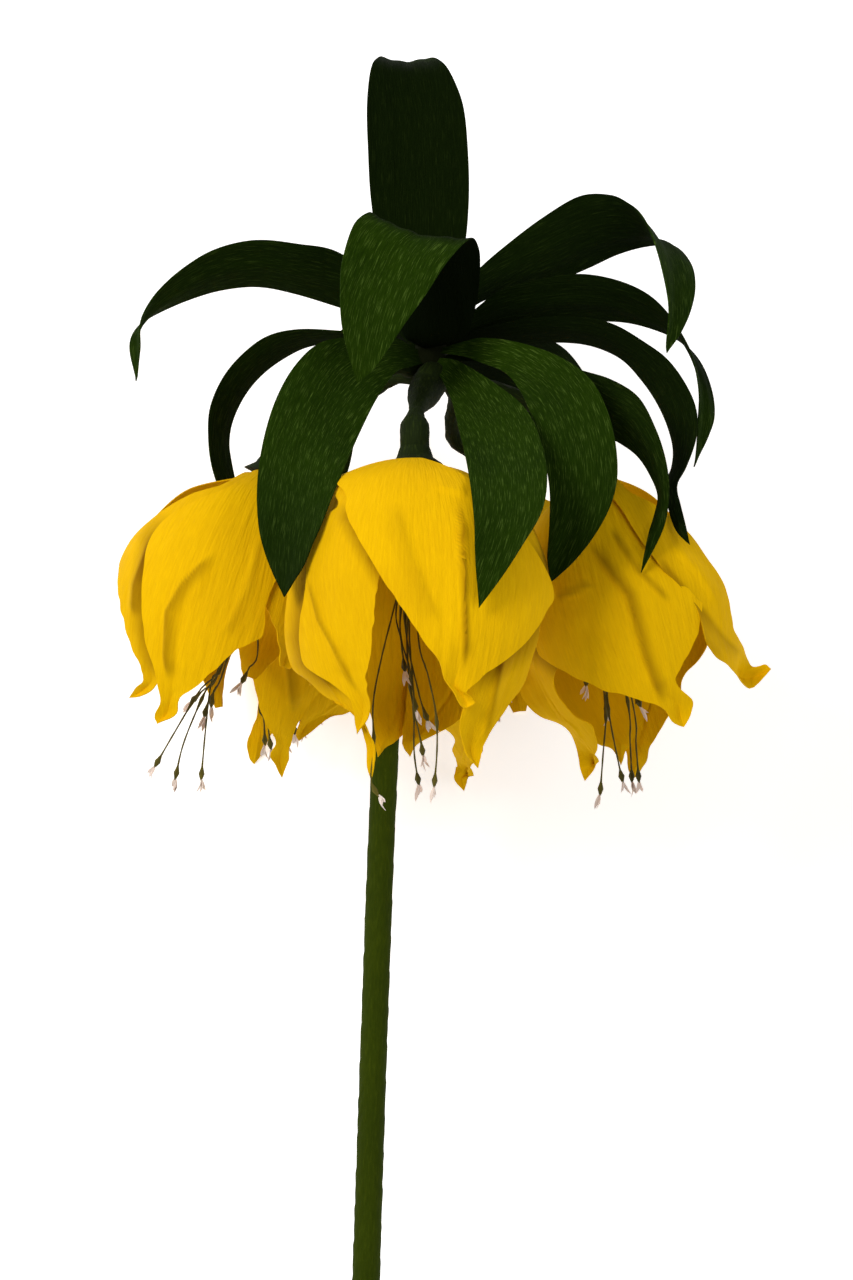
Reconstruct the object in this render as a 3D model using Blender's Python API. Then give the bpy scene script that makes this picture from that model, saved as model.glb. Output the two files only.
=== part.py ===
"""Crown imperial with five yellow bells, a cut stem laid on its back.

The flower is drawn upright, in millimetres, with its origin in the crown where the leaves meet:
x to the right, y away from the viewer, z up the stem. One empty then lays it down, so that it
rests on its two back bells and on the end of its middle back leaf.
"""

import math

import bpy
import numpy as np
from mathutils import Matrix, Vector

MM = 0.001

# How it lies: the head end is raised by LEAN, and the flower is turned on its stem by ROLL.
LEAN = 13.49
ROLL = -4.94
CROWN_AT = (-3.0, 114.8, 127.1)

# Outlines are drawn on a grid of 0.36 mm squares, x to the right and z down, with the crown at
# CROWN, as they look from EYE mm away level with CENTRE.
GRID = 0.36
CROWN = (428.0, 370.0)
CENTRE = (426.5, 640.0)
EYE = 2000.0

STEM_SIDES = 12
LEAF_THICK = 0.9
LEAF_ROWS = 13
LEAF_COLUMNS = 4
PETAL_THICK = 0.8
PETAL_ROWS = 11
PETAL_COLUMNS = 6
STALK_SIDES = 8

# Stem: grid x and z of the centre line from the crown down to the cut end, and the radius in mm.
STEM_LINE = [
    (431, 326, 3.4), (431, 335, 4.6), (431, 360, 4.6), (431, 382, 4.9), (428, 393, 4.3), (419, 404, 3.0),
    (416, 413, 2.7), (411, 440, 3.0), (406, 480, 3.6), (396, 600, 4.3), (384, 780, 4.7), (374, 1040, 4.8),
    (366, 1280, 4.9), (362, 1390, 4.9),
]

# Each leaf from its base to its tip: grid x and z of one edge, grid x and z of the other, the depth
# of the middle in mm, and how much farther away the second edge is. The upper side faces the viewer
# when the leaf hangs down with its first edge on the left. CUP is the depth of the channel as a
# share of the half width.
LEAF_CUP = 0.18
LEAVES = {
    "leaf_upright": [
        (434, 334, 427, 334, 5, 0), (450, 300, 404, 300, 11, 0), (464, 250, 380, 250, 15, 0),
        (469, 200, 371, 200, 18, 0), (468, 150, 368, 150, 20, 0), (463, 105, 367, 105, 23, 0),
        (450, 72, 371, 68, 28, 0), (438, 60, 378, 58, 37, 0), (428, 58, 385, 59, 50, 0),
        (420, 64, 392, 64, 61, 0), (408, 80, 408, 80, 72, 0),
    ],
    "leaf_folded_front": [
        (422, 347, 432, 347, -4.9, 0), (405, 336, 464, 337, -12, -4), (388, 300, 476, 305, -16, -6),
        (373, 255, 480, 272, -21, -6), (367, 225, 479, 249, -28, -4), (370, 213, 470, 239, -37, 0),
        (354, 224, 448, 261, -46, 0), (342, 262, 426, 294, -52, 0), (340, 295, 404, 325, -55, 0),
        (342, 325, 388, 350, -57, 0), (348, 352, 374, 369, -57, 0), (357, 383, 357, 383, -56, 0),
    ],
    "leaf_left_high": [
        (417, 343, 417, 336, 0, -1), (385, 322, 388, 290, -3, -8), (341, 308, 340, 253, -6, -12),
        (295, 294, 298, 244, -8, -14), (258, 287, 255, 240, -9, -14), (222, 290, 215, 249, -10, -14),
        (190, 299, 183, 268, -11, -14), (162, 311, 157, 292, -12, -13), (144, 322, 143, 314, -13, -11),
        (133, 335, 140, 330, -14, -9), (130, 352, 141, 350, -14, -5), (136, 381, 136, 381, -14, 0),
    ],
    "leaf_left_low": [
        (418, 360, 417, 353, 1.3, 0), (385, 352, 380, 335, 6, -4), (345, 342, 342, 331, 9, -8),
        (309, 346, 300, 329, 13, -10), (284, 358, 268, 336, 17, -12), (262, 375, 243, 354, 21, -12),
        (245, 396, 223, 378, 25, -12), (233, 421, 210, 408, 28, -12), (229, 443, 208, 438, 30, -12),
        (231, 462, 211, 465, 31, -10), (236, 490, 220, 492, 32, -6), (236, 530, 236, 530, 32, 0),
    ],
    "leaf_front_left": [
        (418, 352, 423, 356, -3.4, 0), (392, 337, 412, 361, -12, 0), (358, 338, 396, 372, -24, -4),
        (322, 342, 377, 398, -40, -8), (296, 364, 359, 434, -54, -12), (276, 399, 345, 466, -66, -18),
        (263, 442, 332, 497, -78, -20), (257, 488, 320, 529, -87, -20), (259, 528, 308, 555, -92, -16),
        (268, 562, 298, 575, -97, -10), (284, 597, 284, 597, -100, 0),
    ],
    "leaf_front_middle": [
        (430, 366, 437, 364, -4.9, 0), (441, 378, 460, 367, -16, 0), (452, 402, 497, 385, -36, 0),
        (459, 430, 527, 411, -60, 0), (466, 460, 542, 445, -82, 0), (471, 490, 547, 478, -98, 0),
        (474, 520, 541, 512, -108, 0), (475, 552, 521, 548, -114, 0), (477, 582, 499, 580, -117, 0),
        (479, 608, 479, 608, -118, 0),
    ],
    "leaf_front_right": [
        (439, 353, 443, 348, -3.6, 0), (462, 356, 462, 342, -12, 0), (482, 363, 484, 338, -20, 0),
        (504, 372, 521, 343, -32, 0), (519, 389, 560, 357, -45, 0), (530, 412, 591, 380, -57, 0),
        (539, 437, 609, 415, -66, 0), (546, 465, 617, 455, -74, 0), (550, 495, 615, 490, -79, 0),
        (549, 530, 600, 527, -82, 0), (547, 558, 574, 561, -83, 0), (551, 582, 551, 582, -84, 0),
    ],
    "leaf_right_low": [
        (444, 356, 444, 362, -1.8, 0), (485, 346, 480, 362, -10, 4), (530, 350, 520, 380, -22, 6),
        (575, 368, 562, 405, -34, 8), (610, 379, 592, 428, -42, 10), (638, 397, 620, 443, -48, 10),
        (655, 428, 638, 456, -52, 10), (665, 458, 650, 474, -55, 10), (669, 485, 658, 495, -57, 9),
        (668, 508, 655, 514, -59, 6), (662, 532, 649, 535, -61, 3), (641, 573, 641, 573, -64, 0),
    ],
    "leaf_right_middle": [
        (445, 344, 445, 350, -0.9, 0), (480, 329, 480, 346, -2, 6), (520, 320, 520, 344, -4, 8),
        (562, 317, 560, 342, -7, 10), (608, 323, 592, 346, -11, 12), (645, 343, 621, 359, -15, 12),
        (669, 361, 641, 380, -19, 12), (688, 388, 656, 402, -23, 12), (697, 413, 667, 426, -27, 12),
        (696, 440, 673, 449, -31, 12), (686, 468, 672, 468, -34, 10), (677, 485, 667, 482, -38, 6),
        (681, 506, 668, 506, -48, 2), (686, 526, 676, 530, -55, 1), (690, 545, 690, 545, -59, 0),
    ],
    "leaf_right_upper": [
        (445, 336, 445, 342, 0, 0), (468, 315, 470, 335, 0, 4), (500, 291, 502, 329, -1, 8),
        (540, 279, 545, 324, -3, 10), (578, 274, 590, 321, -5, 12), (612, 279, 625, 322, -6, 12),
        (642, 291, 655, 330, -8, 12), (663, 308, 680, 342, -10, 12), (681, 333, 700, 362, -12, 12),
        (692, 357, 712, 390, -14, 10), (698, 385, 715, 416, -16, 8), (699, 412, 708, 437, -17, 5),
        (694, 467, 694, 467, -18, 0),
    ],
    "leaf_right_high": [
        (443, 326, 443, 332, 0.6, 0), (455, 300, 458, 318, 1, 3), (478, 270, 484, 300, 2, 6),
        (510, 242, 520, 290, 3, 8), (545, 216, 558, 280, 4, 10), (580, 196, 590, 267, 4, 12),
        (610, 195, 618, 254, 2, 14), (628, 203, 648, 246, -1, 16), (641, 214, 674, 246, -7, 18),
        (652, 234, 691, 264, -14, 16), (661, 263, 695, 287, -20, 13), (667, 297, 690, 312, -24, 10),
        (668, 328, 680, 334, -26, 5), (667, 353, 667, 353, -27, 0),
    ],
    "leaf_back_right": [
        (444, 352, 439, 352, 3.9, 0), (475, 338, 453, 362, 16, -4), (520, 334, 478, 388, 32, -6),
        (559, 345, 505, 415, 47, -8), (585, 375, 528, 440, 59, -8), (600, 415, 545, 462, 67, -8),
        (605, 455, 555, 482, 72, -8), (600, 490, 566, 504, 75, -6), (580, 530, 580, 530, 77, 0),
    ],
    "leaf_back_left": [
        (424, 352, 418, 352, 4.1, 0), (400, 345, 395, 325, 18, -4), (370, 350, 356, 322, 38, -6),
        (358, 372, 330, 342, 56, -8), (356, 405, 305, 380, 72, -8), (354, 440, 296, 425, 83, -8),
        (348, 470, 294, 465, 90, -6), (336, 495, 300, 497, 94, -4), (318, 530, 318, 530, 96, 0),
    ],
    "leaf_back_middle": [
        (437, 344, 430, 344, 4.9, 0), (446, 318, 414, 318, 24, 0), (460, 298, 402, 298, 50, 0),
        (466, 285, 398, 285, 78, 0), (465, 282, 401, 282, 103, 0), (458, 293, 407, 293, 122, 0),
        (448, 318, 417, 318, 132, 0), (434, 354, 434, 354, 134, 0),
    ],
}

# The side of a bell: radius and depth along it. The last two points carry it on below the mouth.
# Girth stretches it sideways about BELL_CORE.
BELL_SIDE = [
    (5.0, 0.4), (15, 3), (27, 12), (35, 28), (39, 46), (38, 63), (34, 79), (28, 92), (23, 102), (21, 112),
    (21, 160),
]
BELL_CORE = 1.6
PETAL_DEPTH = 102.0
# Half width of a plain petal in even steps of its length.
PETAL_HALF_WIDTHS = [2.2, 9, 19, 26, 30.5, 29, 19, 9, 2.5]
BELL_LEAN = 17.0
# The top of a drawn petal spans this many degrees to each side, and its edges bow out by this power.
TOP_SPREAD = 25.0
EDGE_BOW = 1.6
# Where the sight line is searched for the bell's side, in mm.
SIGHT_STEP = 0.25
SIGHT_REACH = 90.0

# Each bell: the point where its petals meet, the compass angle that it leans to, its share of the
# usual girth, where its side swells (angle about its axis and share of the radius), how high its
# stalk's end stands over it in mm if not SEAT, the grid height at which its stalk leaves the crown
# with the points that the stalk passes, and its six petals. LAYER is how far out of the bell's side
# a petal lies, in mm. A drawn petal lists grid x and z of its left edge and of its right edge from
# near the top to the tip, on the near side of the bell or, with FAR, on the other side. A plain
# petal gives its angle about the bell's axis from the outward side, shares of the usual width and
# length, outward flare of the tip in mm, and turn of the tip in degrees.
BELLS = {
    "bell_front": dict(
        top=(-4.5, -60, -36.0), leans_to=3, girth=1.0, swell=[(85, 0.22), (-88, 0.22)],
        stalk=(380, [(421, 397, -20), (416.5, 410, -38)]),
        petals=[
            dict(layer=1.6, drawn=[
                (366, 471, 470, 480), (343, 490, 503, 508), (346, 512, 531, 545), (364, 548, 553, 592),
                (380, 575, 546, 612), (400, 605, 521, 648), (420, 635, 492, 669), (440, 664, 474, 684),
                (444, 678, 467, 692), (453, 692, 471, 698), (461, 706, 475, 703), (467, 708, 467, 708)]),
            dict(layer=-0.5, drawn=[
                (440, 477, 486, 487), (462, 500, 522, 510), (470, 540, 541, 548), (470, 590, 546, 592),
                (468, 630, 541, 622), (466, 665, 533, 655), (464, 700, 520, 689), (460, 725, 495, 722),
                (462, 742, 484, 744), (468, 756, 481, 756), (478, 768, 478, 768)]),
            dict(layer=-1.7, far=True, drawn=[
                (410, 490, 470, 490), (415, 530, 500, 530), (412, 580, 520, 580), (410, 630, 520, 630),
                (408, 680, 500, 680), (405, 715, 465, 715), (402, 738, 437, 734), (404, 748, 417, 744),
                (410, 757, 410, 757)]),
            dict(layer=0.0, far=True, drawn=[
                (335, 490, 440, 490), (322, 530, 465, 530), (318, 580, 475, 580), (322, 630, 468, 630),
                (342, 675, 448, 680), (370, 712, 420, 716), (374, 735, 399, 738), (376, 748, 386, 748),
                (378, 757, 378, 757)]),
            dict(layer=-2.1, drawn=[
                (345, 480, 385, 490), (320, 507, 380, 530), (298, 546, 372, 575), (288, 592, 368, 610),
                (285, 638, 366, 650), (292, 667, 362, 680), (311, 683, 360, 700), (330, 699, 362, 715),
                (352, 712, 369, 732), (362, 730, 375, 748), (367, 765, 374, 766), (371, 780, 371, 780)]),
            dict(layer=0.0, drawn=[
                (358, 476, 420, 484), (338, 500, 400, 530), (322, 520, 385, 560), (309, 555, 378, 583),
                (304, 592, 375, 605), (299, 638, 372, 640), (304, 663, 369, 662), (325, 681, 366, 678),
                (346, 694, 367, 690), (352, 704, 370, 702), (354, 716, 369, 716), (357, 734, 357, 734)]),
        ],
    ),
    "bell_left": dict(
        top=(-56, -18, -39), leans_to=-72, girth=1.0, swell=[(-18, 0.12)],
        stalk=(371, [(395, 367, -5), (345, 384, -9), (302, 418, -13)]),
        petals=[
            dict(layer=1.4, drawn=[
                (235, 484, 292, 505), (200, 499, 292, 540), (168, 517, 278, 575), (150, 540, 266, 605),
                (143, 580, 262, 636), (143, 625, 236, 650), (150, 655, 216, 669), (157, 680, 195, 687),
                (160, 700, 180, 698), (155, 715, 176, 714), (157, 724, 157, 724)]),
            dict(layer=-0.2, plain=(114, 0.95, 0.68, 0, 0)),
            dict(layer=-1.7, plain=(174, 0.95, 0.68, 0, 0)),
            dict(layer=-0.2, plain=(234, 0.95, 0.7, 0, 0)),
            dict(layer=-1.7, plain=(290, 0.95, 0.78, 0, 6)),
            dict(layer=-0.1, drawn=[
                (228, 482, 250, 500), (190, 495, 225, 520), (150, 521, 200, 540), (126, 548, 180, 565),
                (118, 580, 165, 600), (122, 612, 155, 640), (131, 645, 153, 662), (142, 670, 158, 676),
                (142, 682, 156, 684), (134, 690, 148, 694), (129, 698, 129, 698)]),
        ],
    ),
    "bell_right": dict(
        top=(55, -20, -40), leans_to=73, girth=0.96, swell=[], seat=3.3,
        stalk=(375, [(470, 381, -6), (515, 396, -12), (552, 420, -16)]),
        petals=[
            dict(layer=-0.2, drawn=[
                (560, 505, 600, 510), (548, 545, 603, 555), (538, 600, 598, 610), (524, 655, 562, 658),
                (519, 685, 554, 686), (526, 703, 564, 703), (541, 717, 576, 716), (566, 728, 592, 725),
                (577, 750, 597, 746), (580, 768, 595, 766), (585, 781, 585, 781)]),
            dict(layer=1.4, drawn=[
                (580, 497, 622, 500), (562, 535, 650, 530), (550, 575, 678, 562), (541, 620, 697, 588),
                (538, 652, 702, 605), (562, 670, 697, 634), (600, 688, 689, 654), (640, 700, 675, 680),
                (663, 708, 692, 700), (673, 723, 692, 713), (684, 727, 684, 727)]),
            dict(layer=2.9, drawn=[
                (600, 487, 622, 485), (618, 505, 655, 505), (637, 535, 688, 532), (658, 563, 708, 560),
                (685, 588, 723, 583), (701, 612, 729, 604), (707, 643, 736, 631), (722, 661, 745, 652),
                (738, 677, 753, 667), (752, 688, 764, 664), (771, 669, 771, 669)]),
            dict(layer=-0.2, far=True, drawn=[
                (600, 520, 675, 520), (605, 560, 700, 560), (608, 610, 712, 605), (610, 650, 707, 646),
                (612, 680, 684, 676), (616, 705, 678, 700), (622, 730, 662, 727), (626, 752, 650, 748),
                (628, 768, 643, 768), (632, 780, 632, 780)]),
            dict(layer=-1.7, far=True, drawn=[
                (560, 520, 640, 520), (546, 560, 658, 560), (541, 610, 664, 610), (546, 660, 662, 655),
                (560, 700, 655, 690), (580, 728, 642, 720), (597, 743, 634, 738), (612, 749, 628, 748),
                (621, 765, 621, 765)]),
            dict(layer=-2.6, plain=(262, 0.85, 0.6, 0, 0)),
        ],
    ),
    "bell_back_left": dict(
        top=(-40, 47, -42), leans_to=-139, girth=0.95, swell=[],
        stalk=(377, [(393, 378, 13), (362, 400, 25), (338, 432, 38)]),
        petals=[
            dict(layer=1.4, drawn=[
                (280, 505, 345, 505), (262, 535, 360, 535), (252, 575, 362, 575), (248, 615, 355, 620),
                (248, 645, 342, 658), (251, 670, 325, 688), (258, 700, 306, 712), (266, 724, 295, 732),
                (276, 741, 290, 748), (271, 757, 288, 762), (282, 778, 282, 778)]),
            dict(layer=-0.2, drawn=[
                (325, 500, 365, 500), (328, 540, 385, 540), (328, 590, 392, 590), (322, 640, 390, 640),
                (312, 680, 378, 682), (304, 705, 353, 709), (300, 722, 328, 719), (296, 735, 306, 736),
                (299, 741, 299, 741)]),
            dict(layer=-1.7, plain=(263, 0.95, 0.82, 0, 6)),
            dict(layer=-0.2, plain=(80, 0.8, 0.66, 0, 0)),
            dict(layer=-1.7, plain=(23, 0.95, 0.9, 0, -5)),
            dict(layer=-0.2, far=True, drawn=[
                (290, 505, 330, 505), (272, 540, 330, 545), (262, 590, 328, 600), (258, 640, 320, 650),
                (258, 690, 298, 690), (257, 715, 283, 715), (250, 733, 271, 735), (247, 747, 266, 745),
                (249, 757, 261, 755), (254, 764, 254, 764)]),
        ],
    ),
    "bell_back_right": dict(
        top=(24, 54, -42), leans_to=156, girth=0.95, swell=[],
        stalk=(370, [(458, 394, 21), (463, 430, 34)]),
        petals=[
            dict(layer=1.7, drawn=[
                (450, 510, 530, 512), (432, 545, 548, 545), (425, 590, 552, 590), (424, 640, 545, 640),
                (430, 690, 527, 680), (440, 722, 500, 716), (455, 740, 486, 738), (456, 760, 478, 760),
                (454, 778, 468, 776), (464, 791, 464, 791)]),
            dict(layer=-0.2, plain=(264, 0.95, 0.82, 0, 0)),
            dict(layer=-1.7, plain=(324, 0.95, 0.88, 0, 5)),
            dict(layer=-0.2, plain=(24, 0.95, 0.92, 0, 0)),
            dict(layer=-1.7, plain=(84, 0.95, 0.86, 0, -5)),
            dict(layer=-0.2, plain=(144, 0.95, 0.84, 0, 0)),
        ],
    ),
}

# Share of a stalk's length, and the radius there in mm. SEAT is the height of its end over the bell.
STALK_THICK = [(0, 2.6), (0.55, 2.6), (0.7, 3.9), (0.76, 5.0), (0.9, 5.2), (1, 7.6)]
SEAT = 2.2
STALK_POINTS = 14

# The pistil, then the six stamens round it: depth of the end in mm and how far it hangs from the
# bell's axis. They grow out of a plug of radius RECEPTACLE, PLUG_GAP under the stalk's end.
RECEPTACLE = 3.5
PLUG_GAP = 0.7
STAMENS = [(98, 1), (108, 8), (117, 11), (102, 13), (112, 9), (120, 12), (105, 10)]
FILAMENT_RADII = [0.7, 0.55, 0.5, 0.5, 1.0, 1.5, 0.8]
FILAMENT_STEPS = [0, 0.25, 0.5, 0.9, 0.93, 0.96, 1]


def unit(v):
    return v / np.linalg.norm(v)


def compass(degrees):
    """Level direction: 0 towards the viewer, 90 to the right."""
    a = math.radians(degrees)
    return np.array([math.sin(a), -math.cos(a), 0.0])


def seen(x, z, depth):
    """The point at a depth in mm that looks to be at grid x and z."""
    share = GRID * (1 + depth / EYE)
    return np.array([
        (x - CENTRE[0]) * share + (CENTRE[0] - CROWN[0]) * GRID,
        depth,
        (CENTRE[1] - z) * share - (CENTRE[1] - CROWN[1]) * GRID,
    ])


def smooth_path(points, count):
    """COUNT points on a Catmull-Rom curve through the given ones, at even steps of its length."""
    p = np.array(points, float)
    p = np.vstack([2 * p[0] - p[1], p, 2 * p[-1] - p[-2]])
    fine = []
    for k in range(len(p) - 3):
        a, b, c, d = p[k : k + 4]
        for t in np.arange(0, 1, 0.1):
            square, cube = 2 * a - 5 * b + 4 * c - d, 3 * b - a - 3 * c + d
            fine.append(0.5 * (2 * b + (c - a) * t + square * t**2 + cube * t**3))
    fine = np.array(fine + [p[-2]])
    run = np.concatenate([[0], np.cumsum(np.linalg.norm(np.diff(fine, axis=0), axis=1))])
    at = np.linspace(0, run[-1], count)
    return np.column_stack([np.interp(at, run, fine[:, k]) for k in range(fine.shape[1])])


def material(name, colour, roughness):
    made = bpy.data.materials.get(name)
    if made is None:
        made = bpy.data.materials.new(name)
        made.use_nodes = True
        shader = made.node_tree.nodes["Principled BSDF"]
        shader.inputs["Base Color"].default_value = (*colour, 1.0)
        shader.inputs["Roughness"].default_value = roughness
    return made


LEAF_GREEN = ("leaf_green", (0.035, 0.12, 0.012), 0.8)
STEM_GREEN = ("stem_green", (0.05, 0.13, 0.015), 0.7)
PETAL_YELLOW = ("petal_yellow", (0.85, 0.55, 0.01), 0.75)
STAMEN_GREEN = ("stamen_green", (0.16, 0.17, 0.04), 0.7)


def new_object(name, points, faces, finish, parent):
    """A smooth shaded mesh object from points in mm, hung on the flower's empty."""
    mesh = bpy.data.meshes.new(name)
    mesh.from_pydata([tuple(MM * float(c) for c in p) for p in points], [], faces)
    mesh.update()
    mesh.shade_smooth()
    mesh.materials.append(material(*finish))
    made = bpy.data.objects.new(name, mesh)
    made.parent = parent
    bpy.context.scene.collection.objects.link(made)
    return made


def sheet(name, rows, thick, finish, parent):
    """A thin blade over rows of points whose last row is its pointed tip, thickened evenly."""
    across = len(rows[0])
    points = [p for r in rows[:-1] for p in r] + [rows[-1][across // 2]]
    faces = []
    for i in range(len(rows) - 2):
        for j in range(across - 1):
            a = i * across + j
            faces.append((a, a + 1, a + across + 1, a + across))
    last, tip = (len(rows) - 2) * across, len(points) - 1
    faces += [(last + j, last + j + 1, tip) for j in range(across - 1)]
    made = new_object(name, points, faces, finish, parent)
    wall = made.modifiers.new("thickness", "SOLIDIFY")
    wall.thickness = thick * MM
    wall.offset = 0.0
    return made


def ring(centre, along, radius, sides, first):
    """Points round a line, the first one on the side that FIRST points to."""
    side = unit(first - along * (first @ along))
    other = np.cross(along, side)
    turns = [2 * math.pi * j / sides for j in range(sides)]
    return [centre + radius * (math.cos(a) * side + math.sin(a) * other) for a in turns]


def directions(line):
    last = len(line) - 1
    return [unit(line[min(k + 1, last)] - line[max(k - 1, 0)]) for k in range(len(line))]


def tube(name, line, radii, sides, finish, parent):
    """A closed round bar along a line, with its own radius at each point."""
    line = np.array(line, float)
    points, faces, side = [], [], np.array([1.0, 0.1, 0.1])
    for centre, along, radius in zip(line, directions(line), radii):
        made = ring(centre, along, radius, sides, side)
        side = made[0] - centre
        points += made
    for k in range(len(line) - 1):
        for j in range(sides):
            a, b = k * sides + j, k * sides + (j + 1) % sides
            faces.append((a, b, b + sides, a + sides))
    faces.append(tuple(reversed(range(sides))))
    faces.append(tuple(range((len(line) - 1) * sides, len(line) * sides)))
    return new_object(name, points, faces, finish, parent)


def stalk_line(bell):
    """From the side of the crown through its drawn points to just above the petals."""
    top, axis, _, _ = bell_frame(bell)
    out = compass(bell["leans_to"])
    height, drawn = bell["stalk"]
    start = seen(STEM_LINE[2][0], height, 0.0)
    starts = [start + 5.3 * out, start + 8 * out]
    ends = [top - 14 * axis, top - 8 * axis, top - bell.get("seat", SEAT) * axis]
    return smooth_path([*starts, *(seen(*point) for point in drawn), *ends], STALK_POINTS)


def stalk_radii():
    shares, radii = zip(*STALK_THICK)
    return np.interp(np.linspace(0, 1, STALK_POINTS), shares, radii)


def stamen_cluster(name, bell, parent):
    """A short plug under the stalk with the pistil and the stamens growing out of its face."""
    top, axis, outward, right = bell_frame(bell)
    points, faces = [], []
    for depth, radius in ((PLUG_GAP - bell.get("seat", SEAT), RECEPTACLE), (5.0, RECEPTACLE), (5.4, 1.2)):
        points += ring(top + depth * axis, axis, radius, 6, outward)
    faces.append(tuple(reversed(range(6))))
    faces += [(k, (k + 1) % 6, 6 + (k + 1) % 6, 6 + k) for k in range(6)]
    mouths = [tuple(range(12, 18))] + [(6 + k, 6 + (k + 1) % 6, 12 + (k + 1) % 6, 12 + k) for k in range(6)]
    for index, (mouth, (depth, apart)) in enumerate(zip(mouths, STAMENS)):
        middle = sum(points[k] for k in mouth) / len(mouth)
        side = outward if index == 0 else unit(middle - top - ((middle - top) @ axis) * axis)
        loop = mouth
        for step, radius in zip(FILAMENT_STEPS, FILAMENT_RADII):
            along = 8.0 + step * (depth - 8.0)
            away = (middle - top) @ side * (1 - step) + apart * math.sin(step * math.pi / 2)
            centre = top + along * axis + away * side
            start = len(points)
            first = points[mouth[0]] - middle
            points += ring(centre, axis, radius, len(mouth), first)
            n = len(mouth)
            faces += [(loop[k], loop[(k + 1) % n], start + (k + 1) % n, start + k) for k in range(n)]
            loop = tuple(range(start, start + n))
        faces.append(loop)
    return new_object(name, points, faces, STAMEN_GREEN, parent)


def leaf_rows(drawn, count=LEAF_ROWS, columns=LEAF_COLUMNS, cup=LEAF_CUP):
    """Rows of points across a leaf, base to tip."""
    edges = [
        (*seen(x1, z1, y - dy / 2), *seen(x2, z2, y + dy / 2)) for x1, z1, x2, z2, y, dy in drawn
    ]
    edges = smooth_path(edges, count + 1)
    middles = (edges[:, :3] + edges[:, 3:]) / 2
    rows = []
    for (first, second), along in zip(((e[:3], e[3:]) for e in edges), directions(middles)):
        half = (second - first) / 2
        upper = np.cross(along, half)
        row = []
        for s in np.linspace(-1, 1, columns + 1):
            row.append((first + second) / 2 + s * half - (1 - abs(s) ** 1.4) * cup * upper)
        rows.append(row)
    return rows


def bell_frame(bell):
    """Top, axis towards the mouth, and two directions across it: outward, then to the right."""
    a, out, down = math.radians(BELL_LEAN), compass(bell["leans_to"]), np.array([0.0, 0.0, -1.0])
    axis = math.cos(a) * down + math.sin(a) * out
    outward = unit(out - axis * (out @ axis))
    return np.array(bell["top"], float), axis, outward, np.cross(outward, axis)


def bell_profile(bell, layer):
    """Run, radius and depth along the side of a bell, moved out by LAYER."""
    side = smooth_path(BELL_SIDE, 120)
    side[:, 0] = BELL_CORE + (side[:, 0] - BELL_CORE) * bell["girth"]
    along = np.array(directions(side))
    side = side + layer * np.column_stack([along[:, 1], -along[:, 0]])
    run = np.concatenate([[0], np.cumsum(np.linalg.norm(np.diff(side, axis=0), axis=1))])
    return run, side[:, 0], side[:, 1]


def section(bell, angle):
    """Share of the usual radius at an angle in degrees, because a bell isn't quite round."""
    share = 1.0
    for middle, more in bell["swell"]:
        share = share + more * np.clip(np.cos(np.radians(angle - middle)), 0, 1) ** 2
    return share


def on_bell(bell, profile, x, z, way):
    """Run and angle where the bell's side looks to be at a grid point, and how far outside it lies.

    WAY is -1 for the near side and 1 for the far one.
    """
    top, axis, outward, right = bell_frame(bell)
    run, radii, depths = profile
    start, step = seen(x, z, 0.0) - top, seen(x, z, 1.0) - seen(x, z, 0.0)
    flat, flat_step = start - (start @ axis) * axis, step - (step @ axis) * axis
    middle = -(flat @ flat_step) / (flat_step @ flat_step)
    tries = start + (middle + way * np.arange(0, SIGHT_REACH, SIGHT_STEP))[:, None] * step
    depth = tries @ axis
    spoke = tries - depth[:, None] * axis
    radius = np.linalg.norm(spoke, axis=1)
    angle = np.degrees(np.arctan2(spoke @ right, spoke @ outward))
    wanted = np.interp(depth, depths, radii) * section(bell, angle)
    k = int(np.argmax(radius >= wanted))
    return float(np.interp(depth[k], depths, run)), float(angle[k]), float(max(0.0, radius[k] - wanted[k]))


def near_turn(angle, other):
    return other + (angle - other + 180) % 360 - 180


def plain_edges(petal, profile):
    """Run, angle and distance off the bell of both edges of a plain petal."""
    run, radii, depths = profile
    angle, width, length, flare, turn = petal["plain"]
    whole = np.interp(PETAL_DEPTH, depths, run)
    rows = []
    for k, half in enumerate(PETAL_HALF_WIDTHS):
        t = k / (len(PETAL_HALF_WIDTHS) - 1)
        tip = max(0.0, (t - 0.7) / 0.3)
        at = t * whole * length
        spread = math.degrees(half * width / np.interp(at, run, radii))
        away = flare * tip**1.5
        rows.append((at, angle + turn * tip - spread, away, at, angle + turn * tip + spread, away))
    return rows


def drawn_edges(bell, petal, profile):
    """Run, angle and distance off the bell of both edges of a drawn petal, from the top down."""
    rows, before, way = [], None, 1 if petal.get("far") else -1
    for x1, z1, x2, z2 in petal["drawn"]:
        left, right = on_bell(bell, profile, x1, z1, way), on_bell(bell, profile, x2, z2, way)
        before = left[1] if before is None else near_turn(left[1], before)
        rows.append((left[0], before, left[2], right[0], near_turn(right[1], before), right[2]))
    middle = (rows[0][1] + rows[0][4]) / 2
    rows.insert(0, (0.0, middle + TOP_SPREAD * way, 0.0, 0.0, middle - TOP_SPREAD * way, 0.0))
    return rows


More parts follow.
